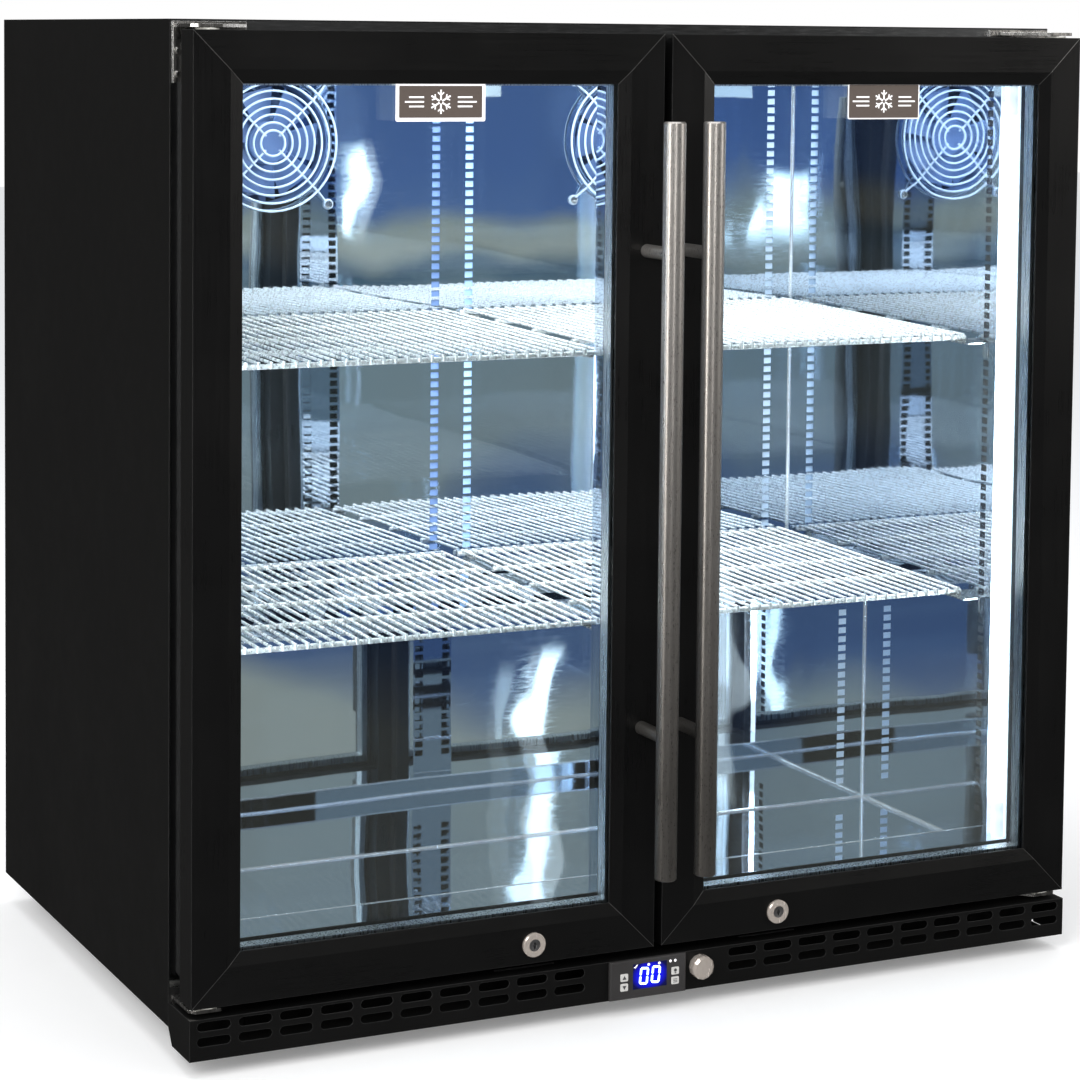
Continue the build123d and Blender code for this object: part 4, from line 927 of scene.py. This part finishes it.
# The bands above and below the blue middle ones are brighter than listed, by this much.
ROOM_GAIN = 1.2
BLUE_LOW, BLUE_HIGH = -0.07, 0.03
# Bright windows of that room: (sideways, height, half width, half height, strength), with soft edges.
WINDOW_SOFT_X, WINDOW_SOFT_Z = 0.0018, 0.006
ROOM_WINDOWS = (
    (0.488, -0.255, 0.005, 0.045, 3.0),
    (0.470, -0.250, 0.004, 0.035, 0.5),
    (0.417, -0.053, 0.0012, 0.013, 4.0),
    (0.566, -0.215, 0.008, 0.035, 3.5),
    (-0.592, -0.056, 0.010, 0.010, 4.0),
    (-0.583, -0.220, 0.005, 0.035, 3.0),
    (0.490, 0.260, 0.006, 0.050, 2.5),
    (-0.30, 0.24, 0.010, 0.050, 2.5),
)


def build_world():
    """White to the camera, soft light to matt surfaces, a dim studio and a mirrored room to bright ones."""
    world = bpy.data.worlds.new("studio")
    scene.world = world
    world.use_nodes = True
    tree = world.node_tree
    tree.nodes.clear()

    def add(kind, sockets=None, **settings):
        node = tree.nodes.new(kind)
        for key, value in settings.items():
            setattr(node, key, value)
        for key, value in (sockets or {}).items():
            if isinstance(value, bpy.types.NodeSocket):
                tree.links.new(value, node.inputs[key])
            else:
                node.inputs[key].default_value = value
        return node

    def count(operation, first, second=0.0):
        return add("ShaderNodeMath", {0: first, 1: second}, operation=operation).outputs[0]

    def remap(value, low, high, to_low, to_high):
        ends = {"From Min": low, "From Max": high, "To Min": to_low, "To Max": to_high}
        return add("ShaderNodeMapRange", {"Value": value, **ends}).outputs[0]

    def within(value, middle, half, soft):
        gap = count("ABSOLUTE", count("SUBTRACT", value, middle))
        return remap(gap, half, half + soft, 1.0, 0.0)

    ray = add("ShaderNodeLightPath")
    way = add("ShaderNodeTexCoord").outputs["Generated"]
    x, y, z = add("ShaderNodeSeparateXYZ", {0: way}).outputs[0:3]
    sideways = count("DIVIDE", x, count("MAXIMUM", count("MULTIPLY", y, -1.0), 0.001))

    drift = add("ShaderNodeTexNoise", {"Vector": way, "Scale": 9.0, "Detail": 2.0}).outputs[0]
    shift = remap(drift, 0.3, 0.7, -0.024, 0.024)
    level = remap(count("ADD", z, shift), -ROOM_REACH, ROOM_REACH, 0.0, 1.0)
    bands = add("ShaderNodeValToRGB", {0: level})
    ramp = bands.color_ramp
    stops = []
    for height, color in ROOM_BANDS:
        gain = 1.0 if BLUE_LOW <= height <= BLUE_HIGH else ROOM_GAIN
        position = (height + ROOM_REACH) / (2 * ROOM_REACH)
        stops.append((position, (*(gain * part for part in color), 1.0)))
    ramp.elements[0].position, ramp.elements[0].color = stops[0]
    ramp.elements[1].position, ramp.elements[1].color = stops[-1]
    for position, color in stops[1:-1]:
        ramp.elements.new(position).color = color
    wobble = add("ShaderNodeTexNoise", {"Vector": way, "Scale": 26.0, "Detail": 1.5}).outputs[0]
    sway = remap(wobble, 0.3, 0.7, -0.010, 0.010)
    sideways = count("ADD", sideways, sway)
    glow = 0.0
    for place, height, half_wide, half_high, strength in ROOM_WINDOWS:
        wide_mask = within(sideways, place, half_wide, WINDOW_SOFT_X)
        mask = count("MULTIPLY", wide_mask, within(z, height, half_high, WINDOW_SOFT_Z))
        glow = count("ADD", glow, count("MULTIPLY", mask, strength))
    windows = add("ShaderNodeBackground", {"Color": (0.86, 0.94, 1.0, 1), "Strength": glow})
    walls = add("ShaderNodeBackground", {"Color": bands.outputs[0], "Strength": 1.0})
    room = add("ShaderNodeAddShader", {0: walls.outputs[0], 1: windows.outputs[0]})
    # Straight in front of the fridge the room is plain grey, and it fades into the bands on both sides.
    plain = add("ShaderNodeBackground", {"Color": (0.62, 0.65, 0.70, 1), "Strength": 0.26})
    ahead = within(sideways, 0.0, 0.15, 0.10)
    room = add("ShaderNodeMixShader", {0: ahead, 1: room.outputs[0], 2: plain.outputs[0]})

    haze = add("ShaderNodeTexNoise", {"Vector": way, "Scale": 1.7, "Detail": 1.0}).outputs[0]
    dim = remap(haze, 0.35, 0.65, 0.02, 0.20)
    studio = add("ShaderNodeBackground", {"Color": (1.0, 0.98, 0.95, 1), "Strength": dim})
    matt = add("ShaderNodeBackground", {"Color": (0.95, 0.97, 1.0, 1), "Strength": 0.75})
    seen = add("ShaderNodeBackground", {"Color": (1, 1, 1, 1), "Strength": 1.0})

    # Reflections outside the glass show a dim studio, and those behind it the room.
    inside = count("GREATER_THAN", ray.outputs["Transparent Depth"], 0.5)
    mirror = add("ShaderNodeMixShader", {0: inside, 1: studio.outputs[0], 2: room.outputs[0]})
    glossy, direct = ray.outputs["Is Glossy Ray"], ray.outputs["Is Camera Ray"]
    indirect = add("ShaderNodeMixShader", {0: glossy, 1: matt.outputs[0], 2: mirror.outputs[0]})
    final = add("ShaderNodeMixShader", {0: direct, 1: indirect.outputs[0], 2: seen.outputs[0]})
    output = add("ShaderNodeOutputWorld")
    tree.links.new(final.outputs[0], output.inputs["Surface"])


# Camera: lens and sensor in millimetres, place in metres, and shifts as shares of the frame's width.
LENS, SENSOR = 97.84, 36.0
CAMERA_PLACE = (-1.2571, -2.5728, 0.8861)
YAW, PITCH, ROLL = math.radians(25.255), math.radians(3.777), math.radians(-0.521)
SHIFTS = (("shift_x", 0.0353), ("shift_y", -0.2854))


def build_camera():
    """A long lens at the front left, nearly level with the top, shifted so that uprights stay upright."""
    data = bpy.data.cameras.new("camera")
    data.lens = LENS
    data.sensor_width = SENSOR
    camera = bpy.data.objects.new("camera", data)
    scene.collection.objects.link(camera)
    camera.rotation_mode = "XYZ"
    camera.location = CAMERA_PLACE
    level = math.cos(PITCH)
    forward = Vector((level * math.sin(YAW), level * math.cos(YAW), -math.sin(PITCH)))
    right = forward.cross(Vector((0, 0, 1))).normalized()
    up = right.cross(forward)
    rolled_right = math.cos(ROLL) * right - math.sin(ROLL) * up
    rolled_up = math.sin(ROLL) * right + math.cos(ROLL) * up
    axes = [list(row) for row in zip(rolled_right, rolled_up, -forward)]
    camera.rotation_euler = Matrix(axes).to_euler("XYZ")
    for path, amount in SHIFTS:
        curve = data.driver_add(path)
        curve.driver.type = "SUM"
        variable = curve.driver.variables.new()
        variable.name = "mode"
        variable.type = "SINGLE_PROP"
        variable.targets[0].id = camera
        variable.targets[0].data_path = "rotation_mode"
        while curve.modifiers:
            curve.modifiers.remove(curve.modifiers[0])
        line = curve.modifiers.new("GENERATOR")
        line.coefficients = (0.0, amount)
    scene.camera = camera


build_floor()
build_world()
for light in STUDIO_LIGHTS:
    add_area_light(*light)
for level, power in INSIDE_LAMPS:
    place, aim = (GLOW_X, GLOW_Y, level), (GLOW_X, GLOW_Y, 0.0)
    glow = add_area_light(f"glow_{level}", place, aim, 0.66, 0.3, power, (0.94, 0.97, 1.0))
    glow.visible_glossy = False
build_camera()
scene.view_settings.view_transform = "Standard"
scene.cycles.max_bounces = 14
scene.cycles.transparent_max_bounces = 24
scene.cycles.sample_clamp_indirect = 6.0
scene.cycles.caustics_reflective = True
scene.cycles.blur_glossy = 0.3
